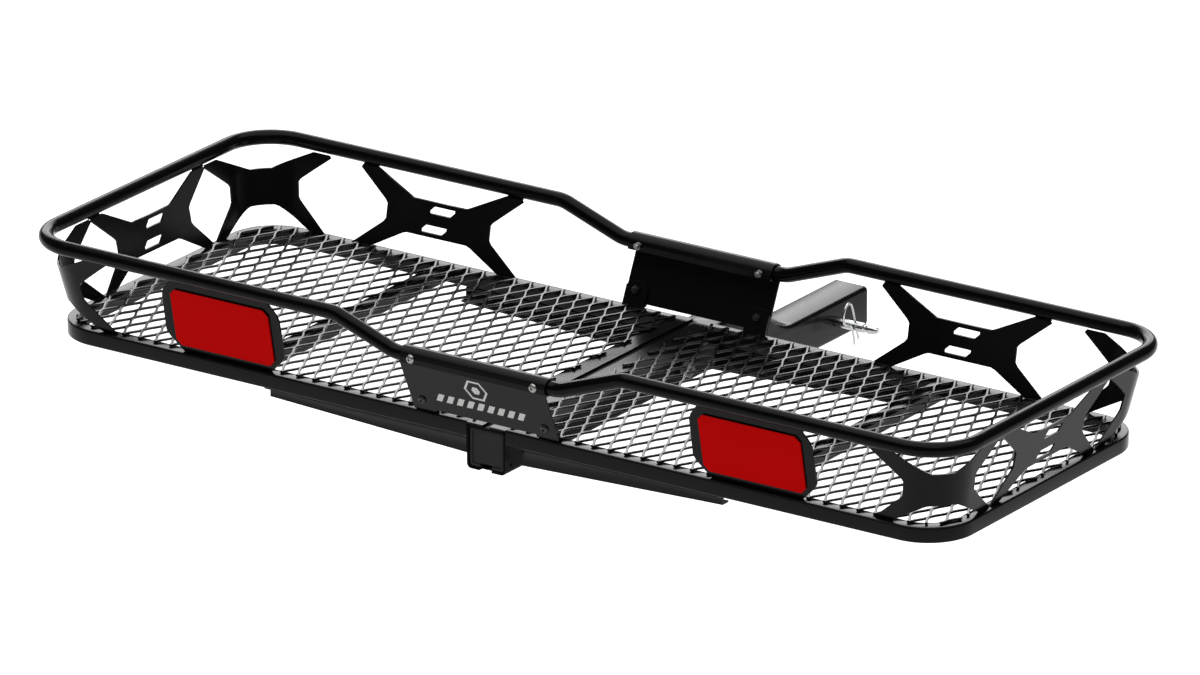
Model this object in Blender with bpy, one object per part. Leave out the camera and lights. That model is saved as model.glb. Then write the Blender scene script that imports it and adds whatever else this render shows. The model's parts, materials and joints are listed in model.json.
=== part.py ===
"""Hitch cargo carrier: two half baskets on a spine tube, with a receiver shank that rises to it.

World frame: metres, +Z up, X along the basket, +Y towards the vehicle. The origin is the
middle of the hitch-pin hole, on the axis of the receiver end of the shank.
"""
import math

import bmesh
import bpy
import numpy as np
from mathutils import Matrix, Vector

for _old in list(bpy.data.objects):
    bpy.data.objects.remove(_old, do_unlink=True)

# ---- driving dimensions (metres) -------------------------------------------------------------
GAP = 0.0003               # clearance left between pieces that touch

SHANK = 0.0508             # square receiver shank, 2 in
SHANK_WALL = 0.0045
SHANK_ROUND = 0.005        # outer corner radius of the shank
SHANK_RISE = 0.0506        # basket end of the shank above its receiver end
SHANK_BEND = 0.100         # centre-line radius of the two bends
SHANK_GRIP = 0.190         # length of shank held inside the spine
PIN_TO_END = 0.0705        # pin hole to the free end of the shank
PIN_TO_BASKET = 0.2758     # pin hole to the rear face of the base frame
PIN_DIAMETER = 0.0127      # 1/2 in hitch pin
PIN_OUT = 0.0885           # tip of the pin from the middle of the shank
CLIP_OUT = 0.0550          # clip hole from the middle of the shank
CLIP_WIRE = 0.0030
CLIP_TILT = math.radians(18.0)

SPINE_WALL = 0.0028
BAR_SHEET = 0.0024         # centre bars, plates
BASE_LENGTH = 1.328
BASE_WIDTH = 0.4574
BASE_CORNER = 0.0643       # outer corner radius of the base frame
FRAME_TUBE = 0.0200        # square tube of the base frame
FRAME_WALL = 0.0020
CENTRE_SPLIT = 0.0052      # half the slot between the two half baskets
CROSS_SHARE = 0.563        # cross tubes, as a share of the half length

RAIL_DIAMETER = 0.01905   # 3/4 in tube
RAIL_WALL = 0.0016
RAIL_HEIGHT = 0.1090       # rail axis above the top of the base frame
RAIL_OUTSET = 0.0175       # rail axis outside the base frame
RAIL_CORNER = 0.0640       # centre-line radius of the rail corners
RAIL_DIP = 0.0320          # drop of the rail at the centre plates
RAIL_SLOPE = 0.090         # length of the slope beside a centre plate
DIP_BEND = 0.050           # centre-line radius of the bends at its two ends

PANEL_SHEET = 0.0025
PANEL_INSET = 0.0085       # foot of a panel inside the outer face of the base frame
PANEL_TUCK = 0.0040        # top of a panel inside the rail axis
PANEL_SHARE = 0.590        # middle of the side panels, as a share of the half length
PANEL_CLEAR = 0.0025       # clearance between neighbouring panels
FLAT_TIP = 0.1235          # half widths of the flat panels: arm tips, waist, feet
FLAT_WAIST = 0.0785
FLAT_FOOT = 0.1265
CORNER_TIP = 0.0997        # half widths of the corner panels, along the wall
CORNER_WAIST = 0.0495
CORNER_FOOT = 0.0903
SHIFT_LOW = 0.0035         # corner panels sit this far towards the end wall, at foot and head
SHIFT_TOP = 0.0038
LENS_SHEET = 0.0022

PLATE_HALF = 0.107         # half width of a centre plate
PLATE_FOOT = 0.0330        # width of each foot beside the notch
NOTCH_HEIGHT = 0.0048
TAB_SHEET = 0.0030
TAB_HEIGHT = 0.030
BOLT = 0.0060              # plate bolts
BEAM_SHARE = 0.505         # outer end of a support beam, as a share of the half length
BEAM_IN = 0.0412           # inner end of a support beam
BEAM_SHEET = 0.0025
BEAM_LIP = 0.0100
BEAM_DEPTH_END = 0.0165
BEAM_DEPTH_MID = 0.0280

FLOOR_SHEET = 0.0020
FLOOR_WEB = 0.0078         # width of the strands of the floor grille
FLOOR_CELLS_X = 8
FLOOR_CELLS_Y = 3

SHANK_BOLT = 0.0120        # bolt through spine and shank
SHANK_BOLT_IN = 0.0705     # its place from the rear end of the spine

# ---- derived places --------------------------------------------------------------------------
SPINE = SHANK + 2 * GAP + 2 * SPINE_WALL
SPINE_Z = SHANK_RISE
BASE_TOP = SPINE_Z + SPINE / 2 + GAP + BAR_SHEET
BASE_BOTTOM = BASE_TOP - FRAME_TUBE
HALF_L = BASE_LENGTH / 2
HALF_W = BASE_WIDTH / 2
MID_Y = -(PIN_TO_BASKET + HALF_W)
RAIL_R = RAIL_DIAMETER / 2
RAIL_LOW = RAIL_HEIGHT - RAIL_DIP
PANEL_H = RAIL_HEIGHT - RAIL_R - 2 * GAP
SPINE_FRONT = MID_Y - HALF_W
SPINE_BACK = MID_Y + HALF_W
TUBE_START = SPINE / 2 + GAP
INNER_Y = HALF_W - FRAME_TUBE
FLOOR_EDGE = PANEL_INSET + PANEL_SHEET / 2 + 3 * GAP
SHANK_BOLT_Y = SPINE_BACK - SHANK_BOLT_IN
SHANK_BOLT_Z = SPINE_Z - 0.0065
CROSS_X = CROSS_SHARE * HALF_L
PANEL_X = PANEL_SHARE * HALF_L
BEAM_END = BEAM_SHARE * HALF_L
PLATE_NOTCH = PLATE_HALF - PLATE_FOOT
PLATE_BOLT_X = PLATE_HALF - PLATE_FOOT / 2
DIP_IN = PLATE_HALF + 0.015
DIP_OUT = DIP_IN + RAIL_SLOPE
DIP_ANGLE = math.atan2(RAIL_DIP, RAIL_SLOPE)


# ---- materials -------------------------------------------------------------------------------
def material(name, colour, roughness, metallic):
    mat = bpy.data.materials.new(name)
    mat.use_nodes = True
    shader = mat.node_tree.nodes["Principled BSDF"]
    shader.inputs["Base Color"].default_value = (*colour, 1.0)
    shader.inputs["Roughness"].default_value = roughness
    shader.inputs["Metallic"].default_value = metallic
    return mat


BLACK = (0.012, 0.012, 0.012)
ZINC = (0.62, 0.63, 0.64)


def put(name, mesh, colour=BLACK, roughness=0.42, metallic=0.0, smooth=None):
    """Link one closed body as a named object with its own material."""
    obj = bpy.data.objects.new(name, mesh)
    bpy.context.scene.collection.objects.link(obj)
    mesh.materials.clear()
    mesh.materials.append(material(name + "_finish", colour, roughness, metallic))
    if smooth is not None:
        mesh.polygons.foreach_set("use_smooth", [True] * len(mesh.polygons))
        mesh.set_sharp_from_angle(angle=math.radians(smooth))
    mesh.update()
    return obj


# ---- shapes ----------------------------------------------------------------------------------
def mesh_from(name, verts, faces):
    """Closed mesh from points and faces, normals facing out."""
    bm = bmesh.new()
    made = [bm.verts.new(v) for v in verts]
    for face in faces:
        bm.faces.new([made[i] for i in face])
    bmesh.ops.recalc_face_normals(bm, faces=bm.faces)
    mesh = bpy.data.meshes.new(name)
    bm.to_mesh(mesh)
    bm.free()
    return mesh


def box(name, low, high):
    (x0, y0, z0), (x1, y1, z1) = low, high
    verts = [(x, y, z) for z in (z0, z1) for x, y in ((x0, y0), (x1, y0), (x1, y1), (x0, y1))]
    faces = [(0, 1, 2, 3), (4, 5, 6, 7)] + [(i, (i + 1) % 4, (i + 1) % 4 + 4, i + 4) for i in range(4)]
    return mesh_from(name, verts, faces)


def extrude(name, outline, place, t0, t1):
    """Prism: outline points (a, b) placed by place(a, b, t) at t0 and t1."""
    count = len(outline)
    verts = [place(a, b, t) for t in (t0, t1) for a, b in outline]
    faces = [tuple(range(count)), tuple(range(2 * count - 1, count - 1, -1))]
    faces += [(i, (i + 1) % count, (i + 1) % count + count, i + count) for i in range(count)]
    return mesh_from(name, verts, faces)


def rings_to_mesh(name, outer, inner=None):
    """Skin a list of rings; with inner rings the body is a tube open at both ends."""
    n = len(outer[0])
    rings = list(outer)
    if inner is not None:
        rings += list(reversed(inner))
    verts = [p for ring in rings for p in ring]
    faces = []
    last = len(rings) if inner is not None else len(rings) - 1
    for k in range(last):
        a, b = k * n, ((k + 1) % len(rings)) * n
        faces += [(a + i, a + (i + 1) % n, b + (i + 1) % n, b + i) for i in range(n)]
    if inner is None:
        faces += [tuple(range(n - 1, -1, -1)), tuple(range((len(rings) - 1) * n, len(rings) * n))]
    return mesh_from(name, verts, faces)


def fillet(points, radii, steps):
    """Polyline with its inner corners rounded by arcs of the given radii."""
    pts = [Vector(p) for p in points]
    out = [pts[0]]
    for i in range(1, len(pts) - 1):
        r = radii[i - 1]
        a = (pts[i - 1] - pts[i]).normalized()
        b = (pts[i + 1] - pts[i]).normalized()
        half = a.angle(b) / 2
        reach = r / math.tan(half)
        centre = pts[i] + (a + b).normalized() * (r / math.sin(half))
        start = pts[i] + a * reach - centre
        end = pts[i] + b * reach - centre
        sweep = start.angle(end)
        for k in range(steps + 1):
            f = k / steps
            arm = start * math.sin((1 - f) * sweep) + end * math.sin(f * sweep)
            out.append(centre + arm / math.sin(sweep))
    out.append(pts[-1])
    return out


def sweep_rings(path, section, up=Vector((0, 0, 1))):
    """Rings of a flat section (side, up) carried along a path, square to it at each point."""
    rings = []
    for i, p in enumerate(path):
        before = (p - path[max(i - 1, 0)]).normalized()
        after = (path[min(i + 1, len(path) - 1)] - p).normalized()
        tangent = (before + after).normalized()
        side = tangent.cross(up).normalized()
        top = side.cross(tangent)
        rings.append([tuple(p + side * a + top * b) for a, b in section])
    return rings


def circle(radius, count, turn=0.0):
    return [(radius * math.cos(2 * math.pi * i / count + turn),
             radius * math.sin(2 * math.pi * i / count + turn)) for i in range(count)]


def rounded_square(size, radius, steps):
    pts = []
    c = size / 2 - radius
    for q, (sx, sy) in enumerate(((1, 1), (-1, 1), (-1, -1), (1, -1))):
        for k in range(steps + 1):
            a = math.radians(90 * q + 90 * k / steps)
            pts.append((sx * c + radius * math.cos(a), sy * c + radius * math.sin(a)))
    return pts


def revolve(name, profile, origin, axis, count=12, bore=None):
    """Body of revolution: profile points (distance along axis, radius)."""
    axis = Vector(axis).normalized()
    ref = Vector((0, 0, 1)) if abs(axis.z) < 0.8 else Vector((1, 0, 0))
    u = axis.cross(ref).normalized()
    v = axis.cross(u)
    origin = Vector(origin)

    def ring(d, r):
        return [tuple(origin + axis * d + (u * math.cos(t) + v * math.sin(t)) * r)
                for t in (2 * math.pi * i / count for i in range(count))]
    outer = [ring(d, r) for d, r in profile]
    inner = [ring(d, bore) for d in (profile[0][0], profile[-1][0])] if bore else None
    return rings_to_mesh(name, outer, inner)


def hexagon(across, count=12):
    """Hexagon sampled at its corners and side middles, as (angle, radius)."""
    pts = []
    for i in range(count):
        a = 2 * math.pi * i / count
        off = (a + math.pi / 6) % (math.pi / 3) - math.pi / 6
        pts.append((a, across / 2 / math.cos(off)))
    return pts


def nut(name, origin, axis, across, height, bore, flange=0.0):
    """Hexagon nut with a bore; with flange > 0 it stands on a round flange."""
    axis = Vector(axis).normalized()
    ref = Vector((0, 0, 1)) if abs(axis.z) < 0.8 else Vector((1, 0, 0))
    u = axis.cross(ref).normalized()
    v = axis.cross(u)
    origin = Vector(origin)
    shape = hexagon(across)

    def ring(d, radii):
        return [tuple(origin + axis * d + (u * math.cos(a) + v * math.sin(a)) * r)
                for (a, _), r in zip(shape, radii)]
    hexed = [r for _, r in shape]
    plain = [bore] * len(shape)
    outer = []
    if flange:
        wide = [flange] * len(shape)
        outer += [ring(0.0, wide), ring(height * 0.22, wide)]
        outer += [ring(height * 0.3, hexed)]
    else:
        outer += [ring(0.0, hexed)]
    outer += [ring(height * 0.92, hexed), ring(height, [min(r, across / 2) for r in hexed])]
    return rings_to_mesh(name, outer, [ring(0.0, plain), ring(height, plain)])


def merged(mesh, *others, mode="DIFFERENCE"):
    """Mesh after exact Booleans with the other meshes; the tools are removed."""
    base = bpy.data.objects.new("work", mesh)
    bpy.context.scene.collection.objects.link(base)
    tools = []
    for other in others:
        tool = bpy.data.objects.new("tool", other)
        bpy.context.scene.collection.objects.link(tool)
        tools.append(tool)
        step = base.modifiers.new("step", "BOOLEAN")
        step.operation = mode
        step.solver = "EXACT"
        step.object = tool
    bpy.context.view_layer.update()
    graph = bpy.context.evaluated_depsgraph_get()
    made = bpy.data.meshes.new_from_object(base.evaluated_get(graph))
    for obj in [base] + tools:
        bpy.data.objects.remove(obj, do_unlink=True)
    return made


def drill(origin, axis, radius, length, count=12):
    """Cylinder used to cut a hole, centred on its origin."""
    return revolve("drill", [(-length / 2, radius), (length / 2, radius)], origin, axis, count)


# ---- the wall surface: feet on the base frame, tops under the rail --------------------------
WALL_LOW = (HALF_L - PANEL_INSET, HALF_W - PANEL_INSET, BASE_CORNER - PANEL_INSET)
WALL_TOP = (HALF_L + RAIL_OUTSET - PANEL_TUCK, HALF_W + RAIL_OUTSET - PANEL_TUCK,
            RAIL_CORNER - PANEL_TUCK)
MEAN_ARC = (WALL_LOW[2] + WALL_TOP[2]) / 2
SPREAD_LOW = WALL_LOW[2] / MEAN_ARC      # the wall is shorter round the foot than round the head
SPREAD_TOP = WALL_TOP[2] / MEAN_ARC


def corner_point(d, shape):
    """Point and outward normal at distance d from the middle of a corner arc."""
    a, b, r = shape
    arc = math.pi / 4 * r
    if d < -arc:
        return Vector((a - r + d + arc, b)), Vector((0, 1))
    if d > arc:
        return Vector((a, b - r - (d - arc))), Vector((1, 0))
    t = math.pi / 4 + d / r
    n = Vector((math.sin(t), math.cos(t)))
    return Vector((a - r, b - r)) + n * r, n


def lean(h):
    """Outward shift of a flat wall at height h above the base frame."""
    return (WALL_TOP[1] - WALL_LOW[1]) * h / RAIL_HEIGHT


def side_place(x_mid, sy):
    return lambda u, h, t: (x_mid + u, MID_Y + sy * (WALL_LOW[1] + lean(h) + t), BASE_TOP + GAP + h)


def end_place(sx):
    return lambda u, h, t: (sx * (WALL_LOW[0] + lean(h) + t), MID_Y + u, BASE_TOP + GAP + h)


def corner_place(sx, sy):
    def place(u, h, t):
        k = h / RAIL_HEIGHT
        low, n0 = corner_point(u * SPREAD_LOW + SHIFT_LOW, WALL_LOW)
        top, n1 = corner_point(u * SPREAD_TOP + SHIFT_TOP, WALL_TOP)
        p = low.lerp(top, k) + (n0.lerp(n1, k)).normalized() * t
        return (sx * p.x, MID_Y + sy * p.y, BASE_TOP + GAP + h)
    return place


def wall_left(half, radius, edge):
    """Straight wall between its middle and a corner panel whose edge is that far round the corner."""
    return half - radius - (edge - math.pi / 4 * radius) - PANEL_CLEAR


FOOT_ROOM = wall_left(WALL_LOW[1], WALL_LOW[2], CORNER_FOOT * SPREAD_LOW + SHIFT_LOW)
TIP_ROOM = wall_left(WALL_TOP[1], WALL_TOP[2], CORNER_TIP * SPREAD_TOP + SHIFT_TOP)
SIDE_FOOT_ROOM = wall_left(WALL_LOW[0], WALL_LOW[2], CORNER_FOOT * SPREAD_LOW - SHIFT_LOW) - PANEL_X
DIP_ROOM = PANEL_X - DIP_OUT - DIP_BEND * math.tan(DIP_ANGLE / 2) - PANEL_CLEAR
SIDE_TIP_ROOM = min(DIP_ROOM, wall_left(WALL_TOP[0], WALL_TOP[2], CORNER_TIP * SPREAD_TOP - SHIFT_TOP) - PANEL_X)


def cross_outline(flat, tip, arm_in, waist, foot, foot_in, flat_low, rooms):
    """X-shaped panel outline, anticlockwise, as (u, h), narrowed where the wall leaves less room."""
    h = PANEL_H
    k = min(1.0, rooms[0] / (foot - 0.008), rooms[1] / (tip - 0.008))
    flat, tip, arm_in, waist, foot, foot_in, flat_low = [
        k * w for w in (flat, tip, arm_in, waist, foot, foot_in, flat_low)]
    foot = min(foot, rooms[0])
    tip = min(tip, rooms[1])
    half = [(flat_low, 0.277 * h), (flat_low + 0.006, 0.258 * h), (foot_in, 0.0), (foot, 0.0),
            (waist + 0.0035, 0.350 * h), (waist, 0.398 * h), (waist, 0.588 * h),
            (waist + 0.0035, 0.632 * h), (tip, 0.965 * h), (tip - 0.002, h), (arm_in, h),
            (flat + 0.006, 0.756 * h), (flat, 0.729 * h)]
    return half + [(-u, v) for u, v in reversed(half)]


def slot(width, height, slant, x_mid, h_mid):
    """Slanted slot outline with clipped corners."""
    w, e = width / 2, height / 2
    c = height * 0.3
    pts = [(-w + c, -e), (w, -e), (w, e - c), (w - c, e), (-w, e), (-w, -e + c)]
    return [(x_mid + x + slant * y / e, h_mid + y) for x, y in pts]


FLAT_SHAPE = (0.040, FLAT_TIP, FLAT_TIP - 0.027, FLAT_WAIST, FLAT_FOOT, FLAT_FOOT - 0.0285, 0.045)
CORNER_SHAPE = (0.014, CORNER_TIP, CORNER_TIP - 0.027, CORNER_WAIST, CORNER_FOOT, CORNER_FOOT - 0.023, 0.016)
SIDE_OUTLINE = cross_outline(*FLAT_SHAPE, (SIDE_FOOT_ROOM, SIDE_TIP_ROOM))
END_OUTLINE = cross_outline(*FLAT_SHAPE, (FOOT_ROOM, TIP_ROOM))
CORNER_OUTLINE = cross_outline(*CORNER_SHAPE, (1.0, 1.0))


def flat_panel(name, outline, place):
    body = extrude(name, outline, place, -PANEL_SHEET / 2, PANEL_SHEET / 2)
    mid = 0.503 * PANEL_H
    cuts = [extrude("cut", slot(0.034, 0.0096, 0.005, s * 0.005, mid + s * 0.0122), place,
                    -2 * PANEL_SHEET, 2 * PANEL_SHEET) for s in (1, -1)]
    return put(name, merged(body, *cuts))


def corner_panel(name, sx, sy):
    """X panel rolled round a corner: the flat outline is sliced, thickened, then bent."""
    bm = bmesh.new()
    face = bm.faces.new([bm.verts.new((u, h, 0.0)) for u, h in CORNER_OUTLINE])
    reach = math.pi / 4 * MEAN_ARC * 1.05
    for k in range(-4, 5):
        geom = bm.verts[:] + bm.edges[:] + bm.faces[:]
        bmesh.ops.bisect_plane(bm, geom=geom, dist=1e-6, plane_co=(reach * k / 4, 0, 0), plane_no=(1, 0, 0))
    bmesh.ops.triangulate(bm, faces=bm.faces)
    bm.verts.ensure_lookup_table()
    count = len(bm.verts)
    flat = [(v.co.x, v.co.y) for v in bm.verts]
    tris = [[v.index for v in f.verts] for f in bm.faces]
    rims = [[v.index for v in e.verts] for e in bm.edges if e.is_boundary]
    bm.free()
    place = corner_place(sx, sy)
    verts = [place(u, h, t) for t in (-PANEL_SHEET / 2, PANEL_SHEET / 2) for u, h in flat]
    faces = [tuple(t) for t in tris] + [tuple(i + count for i in reversed(t)) for t in tris]
    faces += [(a, b, b + count, a + count) for a, b in rims]
    return put(name, mesh_from(name, verts, faces), smooth=30)


# ---- base frame, floor, beams, spine --------------------------------------------------------
SIDES = (("left", -1), ("right", 1))
ENDS = (("front", -1), ("rear", 1))


def plan_path(half_l, half_w, radius, start, steps=7):
    """U-shaped plan line of one half: from the front split round the end to the rear split."""
    return fillet([(start, -half_w, 0), (half_l, -half_w, 0), (half_l, half_w, 0), (start, half_w, 0)],
                  [radius, radius], steps)


def plate_profile():
    """Middle line of a centre plate as (outward, height above the base frame), foot to hook tip."""
    ring = RAIL_R + GAP + BAR_SHEET / 2
    pts = [(-0.0032, GAP + BAR_SHEET / 2), (RAIL_OUTSET + ring, RAIL_LOW - 0.006)]
    pts += [(RAIL_OUTSET + ring * math.cos(a), RAIL_LOW + ring * math.sin(a))
            for a in (math.pi * k / 8 for k in range(9))]
    pts += [(RAIL_OUTSET - ring, RAIL_LOW - 0.0075)]
    return pts


PLATE_LINE = plate_profile()
_run = PLATE_LINE[1][0] - PLATE_LINE[0][0]
_rise = PLATE_LINE[1][1] - PLATE_LINE[0][1]
PLATE_LEN = math.hypot(_run, _rise)
PLATE_ALONG = (_run / PLATE_LEN, _rise / PLATE_LEN)
PLATE_OUT = (_rise / PLATE_LEN, -_run / PLATE_LEN)
LOW_BOLT_S = 0.0180        # lower bolts up the slope of the plate


def on_plate(s, t):
    """(outward, height) at distance s up the sloping plate and t outside its middle line."""
    return (PLATE_LINE[0][0] + PLATE_ALONG[0] * s + PLATE_OUT[0] * t,
            PLATE_LINE[0][1] + PLATE_ALONG[1] * s + PLATE_OUT[1] * t)


def world(x, outward, height, sy):
    return (x, MID_Y + sy * (HALF_W + outward), BASE_TOP + height)


def low_bolt_axis(sy):
    return Vector((0, sy * PLATE_OUT[0], PLATE_OUT[1]))


def tab_mesh(sx, sy):
    """Upright tab behind a plate foot; its level root sinks into the wall of the frame tube."""
    half = (PLATE_HALF - PLATE_NOTCH) / 2 - GAP
    mid = (PLATE_HALF + PLATE_NOTCH) / 2

    def place(a, h, t):
        o = PLATE_LINE[0][0] + (h - PLATE_LINE[0][1]) * _run / _rise
        o -= (BAR_SHEET / 2 + GAP + t) / PLATE_OUT[0]
        return world(sx * (mid + a), o, h, sy)
    root = -FRAME_WALL * 0.6
    outline = [(-half, root), (half, root), (half, TAB_HEIGHT - 0.006), (half - 0.006, TAB_HEIGHT),
               (-half + 0.006, TAB_HEIGHT), (-half, TAB_HEIGHT - 0.006)]
    return extrude("tab", outline, place, 0.0, TAB_SHEET)


def base_frame(name, sx):
    path = plan_path(HALF_L - FRAME_TUBE / 2, HALF_W - FRAME_TUBE / 2, BASE_CORNER - FRAME_TUBE / 2,
                     TUBE_START)
    path = [Vector((sx * p.x, p.y + MID_Y, BASE_TOP - FRAME_TUBE / 2)) for p in path]
    outer = rounded_square(FRAME_TUBE, 0.0022, 1)
    bore = rounded_square(FRAME_TUBE - 2 * FRAME_WALL, 0.0008, 1)
    tube = rings_to_mesh(name, sweep_rings(path, outer), sweep_rings(path, bore))
    tabs = [tab_mesh(sx, sy) for _, sy in ENDS]
    body = merged(tube, *tabs, mode="UNION")
    holes = [drill(world(sx * PLATE_BOLT_X, *on_plate(LOW_BOLT_S, 0.0), sy), low_bolt_axis(sy),
                   BOLT / 2 + GAP, 0.02) for _, sy in ENDS]
    return put(name, merged(body, *holes), smooth=35)


def centre_bar(name, sx):
    """Angle bar on the spine that closes the inner end of a half basket."""
    leg = TUBE_START + BAR_SHEET
    clear = INNER_Y - GAP
    plan = [(CENTRE_SPLIT, -HALF_W), (TUBE_START - GAP, -HALF_W), (TUBE_START - GAP, -clear), (leg, -clear),
            (leg, clear), (TUBE_START - GAP, clear), (TUBE_START - GAP, HALF_W), (CENTRE_SPLIT, HALF_W)]
    flange = extrude(name, plan, lambda a, b, t: (sx * a, MID_Y + b, t), BASE_TOP - BAR_SHEET, BASE_TOP)
    ends = sorted((sx * TUBE_START, sx * leg))
    web = box("web", (ends[0], MID_Y - clear, BASE_BOTTOM), (ends[1], MID_Y + clear, BASE_TOP - BAR_SHEET / 2))
    return put(name, merged(flange, web, mode="UNION"))


def cross_tube(name, sx):
    outer = rounded_square(FRAME_TUBE, 0.0022, 1)
    bore = rounded_square(FRAME_TUBE - 2 * FRAME_WALL, 0.0008, 1)
    path = [Vector((sx * CROSS_X, MID_Y + s * (INNER_Y - GAP), BASE_TOP - FRAME_TUBE / 2)) for s in (-1, 1)]
    return put(name, rings_to_mesh(name, sweep_rings(path, outer), sweep_rings(path, bore)))


def floor_mesh(name, sx):
    """Sheet with diamond openings, lying on the base frame and the cross tube."""
    x0, x1 = CENTRE_SPLIT + 0.0155, HALF_L - FLOOR_EDGE
    y1 = HALF_W - FLOOR_EDGE
    r = BASE_CORNER - FLOOR_EDGE
    rim = plan_path(x1, y1, r, x0, steps=4)
    z0 = BASE_TOP + GAP
    sheet = extrude(name, [(p.x, p.y) for p in rim],
                    lambda a, b, t: (sx * a, MID_Y + b, t), z0, z0 + FLOOR_SHEET)
    edge = FRAME_TUBE - FLOOR_EDGE + 0.004
    wide = (x1 - edge - x0 - 0.018) / FLOOR_CELLS_X
    tall = 2 * (y1 - edge) / FLOOR_CELLS_Y
    across = wide / 2 - FLOOR_WEB * math.hypot(wide, tall) / tall / 2
    along = across * tall / wide
    bm = bmesh.new()
    for row in range(2 * FLOOR_CELLS_Y - 1):
        shift = 0.5 if row % 2 == 0 else 0.0
        for col in range(FLOOR_CELLS_X + 1):
            cx = x0 + 0.018 + wide * (col + shift)
            cy = -(y1 - edge) + tall * (row + 1) / 2
            if cx - across < x0 + 0.008 or cx + across > x1 - edge + 0.003:
                continue
            if math.hypot(max(0, cx - (x1 - r)), max(0, abs(cy) + along * 0.5 - (y1 - r))) > r - 0.018:
                continue
            ends = [(cx - across, cy), (cx, cy - along), (cx + across, cy), (cx, cy + along)]
            loops = [[bm.verts.new((sx * x, MID_Y + y, z)) for x, y in ends] for z in (z0 - 0.001, z0 + 0.003)]
            bm.faces.new(loops[0])
            bm.faces.new(list(reversed(loops[1])))
            for i in range(4):
                j = (i + 1) % 4
                bm.faces.new((loops[0][i], loops[0][j], loops[1][j], loops[1][i]))
    bmesh.ops.recalc_face_normals(bm, faces=bm.faces)
    cuts = bpy.data.meshes.new("cuts")
    bm.to_mesh(cuts)
    bm.free()
    return put(name, merged(sheet, cuts), colour=(0.02, 0.02, 0.02))


def support_beam(name, sx, sy):
    """Tapered Z-shaped beam under the frame tube: flange out, web down, lip in."""
    s = BEAM_SHEET
    top = BASE_BOTTOM - GAP
    web = -FRAME_TUBE + s

    def section(x, depth):
        pts = [(web + 0.0125, 0), (web + 0.0125, -s), (web, -s), (web, -depth), (web - s - BEAM_LIP, -depth),
               (web - s - BEAM_LIP, -depth + s), (web - s, -depth + s), (web - s, 0)]
        return [(sx * x, MID_Y + sy * (HALF_W + o), top + z) for o, z in pts]
    rings = [section(BEAM_IN, BEAM_DEPTH_MID), section(BEAM_END, BEAM_DEPTH_END)]
    return put(name, rings_to_mesh(name, rings))


def spine():
    outer = rounded_square(SPINE, 0.0060, 3)
    bore = rounded_square(SPINE - 2 * SPINE_WALL, 0.0040, 3)
    path = [Vector((0, SPINE_FRONT, SPINE_Z)), Vector((0, SPINE_BACK, SPINE_Z))]
    tube = rings_to_mesh("spine_tube", sweep_rings(path, outer), sweep_rings(path, bore))
    small = drill((SPINE / 2, SPINE_FRONT + 0.012, SPINE_Z - SPINE * 0.3), (1, 0, 0), 0.0022, 0.02, 8)
    cross = drill((0, SHANK_BOLT_Y, SHANK_BOLT_Z), (1, 0, 0), SHANK_BOLT / 2 + GAP, SPINE * 1.4)
    low = SPINE_Z - SPINE / 2
    notch = ((-0.010, SPINE_FRONT - 0.001, low - 0.001), (0.008, SPINE_FRONT + 0.0065, low + 0.0055))
    put("spine_tube", merged(tube, small, cross, box("notch", *notch)), smooth=40)
    inside = rounded_square(SPINE - 2 * SPINE_WALL - 2 * GAP, 0.0037, 3)
    bore = rounded_square(SPINE - 2 * SPINE_WALL - 0.007, 0.0024, 3)
    y0 = SPINE_FRONT + 0.0012
    skin = [Vector((0, y0, SPINE_Z)), Vector((0, y0 + 0.022, SPINE_Z))]
    cup = rings_to_mesh("spine_end_cap", sweep_rings(skin, inside))
    hollow = rings_to_mesh("hollow", sweep_rings([Vector((0, y0 + 0.0025, SPINE_Z)),
                                                  Vector((0, y0 + 0.03, SPINE_Z))], bore))
    cap = merged(cup, hollow, box("notch", *notch))
    put("spine_end_cap", cap, colour=(0.016, 0.016, 0.016), roughness=0.5, smooth=40)


def shank():
    """Square tube with two opposite bends, open at both ends and drilled for the pin and bolt."""
    turn = math.acos(1 - SHANK_RISE / (2 * SHANK_BEND))
    run = 2 * SHANK_BEND * math.sin(turn)
    half = SHANK_BEND * math.tan(turn / 2)
    y_high = SPINE_BACK + (PIN_TO_BASKET - run) * 0.36
    y_low = y_high + run
    corners = [(0, SPINE_BACK - SHANK_GRIP, SHANK_RISE), (0, y_high + half, SHANK_RISE),
               (0, y_low - half, 0), (0, PIN_TO_END, 0)]
    path = fillet(corners, [SHANK_BEND - 1e-6] * 2, 7)
    outer = rounded_square(SHANK, SHANK_ROUND, 3)
    bore = rounded_square(SHANK - 2 * SHANK_WALL, 0.0020, 3)
    tube = rings_to_mesh("receiver_shank", sweep_rings(path, outer), sweep_rings(path, bore))
    pin_hole = drill((0, 0, 0), (1, 0, 0), PIN_DIAMETER / 2 + GAP, SHANK * 1.4, 20)
    cross = drill((0, SHANK_BOLT_Y, SHANK_BOLT_Z), (1, 0, 0), SHANK_BOLT / 2 + GAP, SHANK * 1.4)
    put("receiver_shank", merged(tube, pin_hole, cross), smooth=40)


def shank_fasteners():
    r = SHANK_BOLT / 2
    side = SPINE / 2
    out = side + GAP
    bolt = revolve("shank_bolt", [(-out - 0.0075, 0.0090), (-out - 0.0065, 0.0100), (-out, 0.0100), (-out, r),
                                  (out + 0.0130, r), (out + 0.0140, r - 0.001)],
                   (0, SHANK_BOLT_Y, SHANK_BOLT_Z), (1, 0, 0), 12)
    put("shank_bolt", bolt, (0.03, 0.03, 0.03), 0.35, 0.6, smooth=30)
    made = nut("shank_nut", (out, SHANK_BOLT_Y, SHANK_BOLT_Z), (1, 0, 0), 0.0180, 0.0105, r + GAP, 0.0115)
    put("shank_nut", made, (0.03, 0.03, 0.03), 0.35, 0.6, smooth=30)


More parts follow.
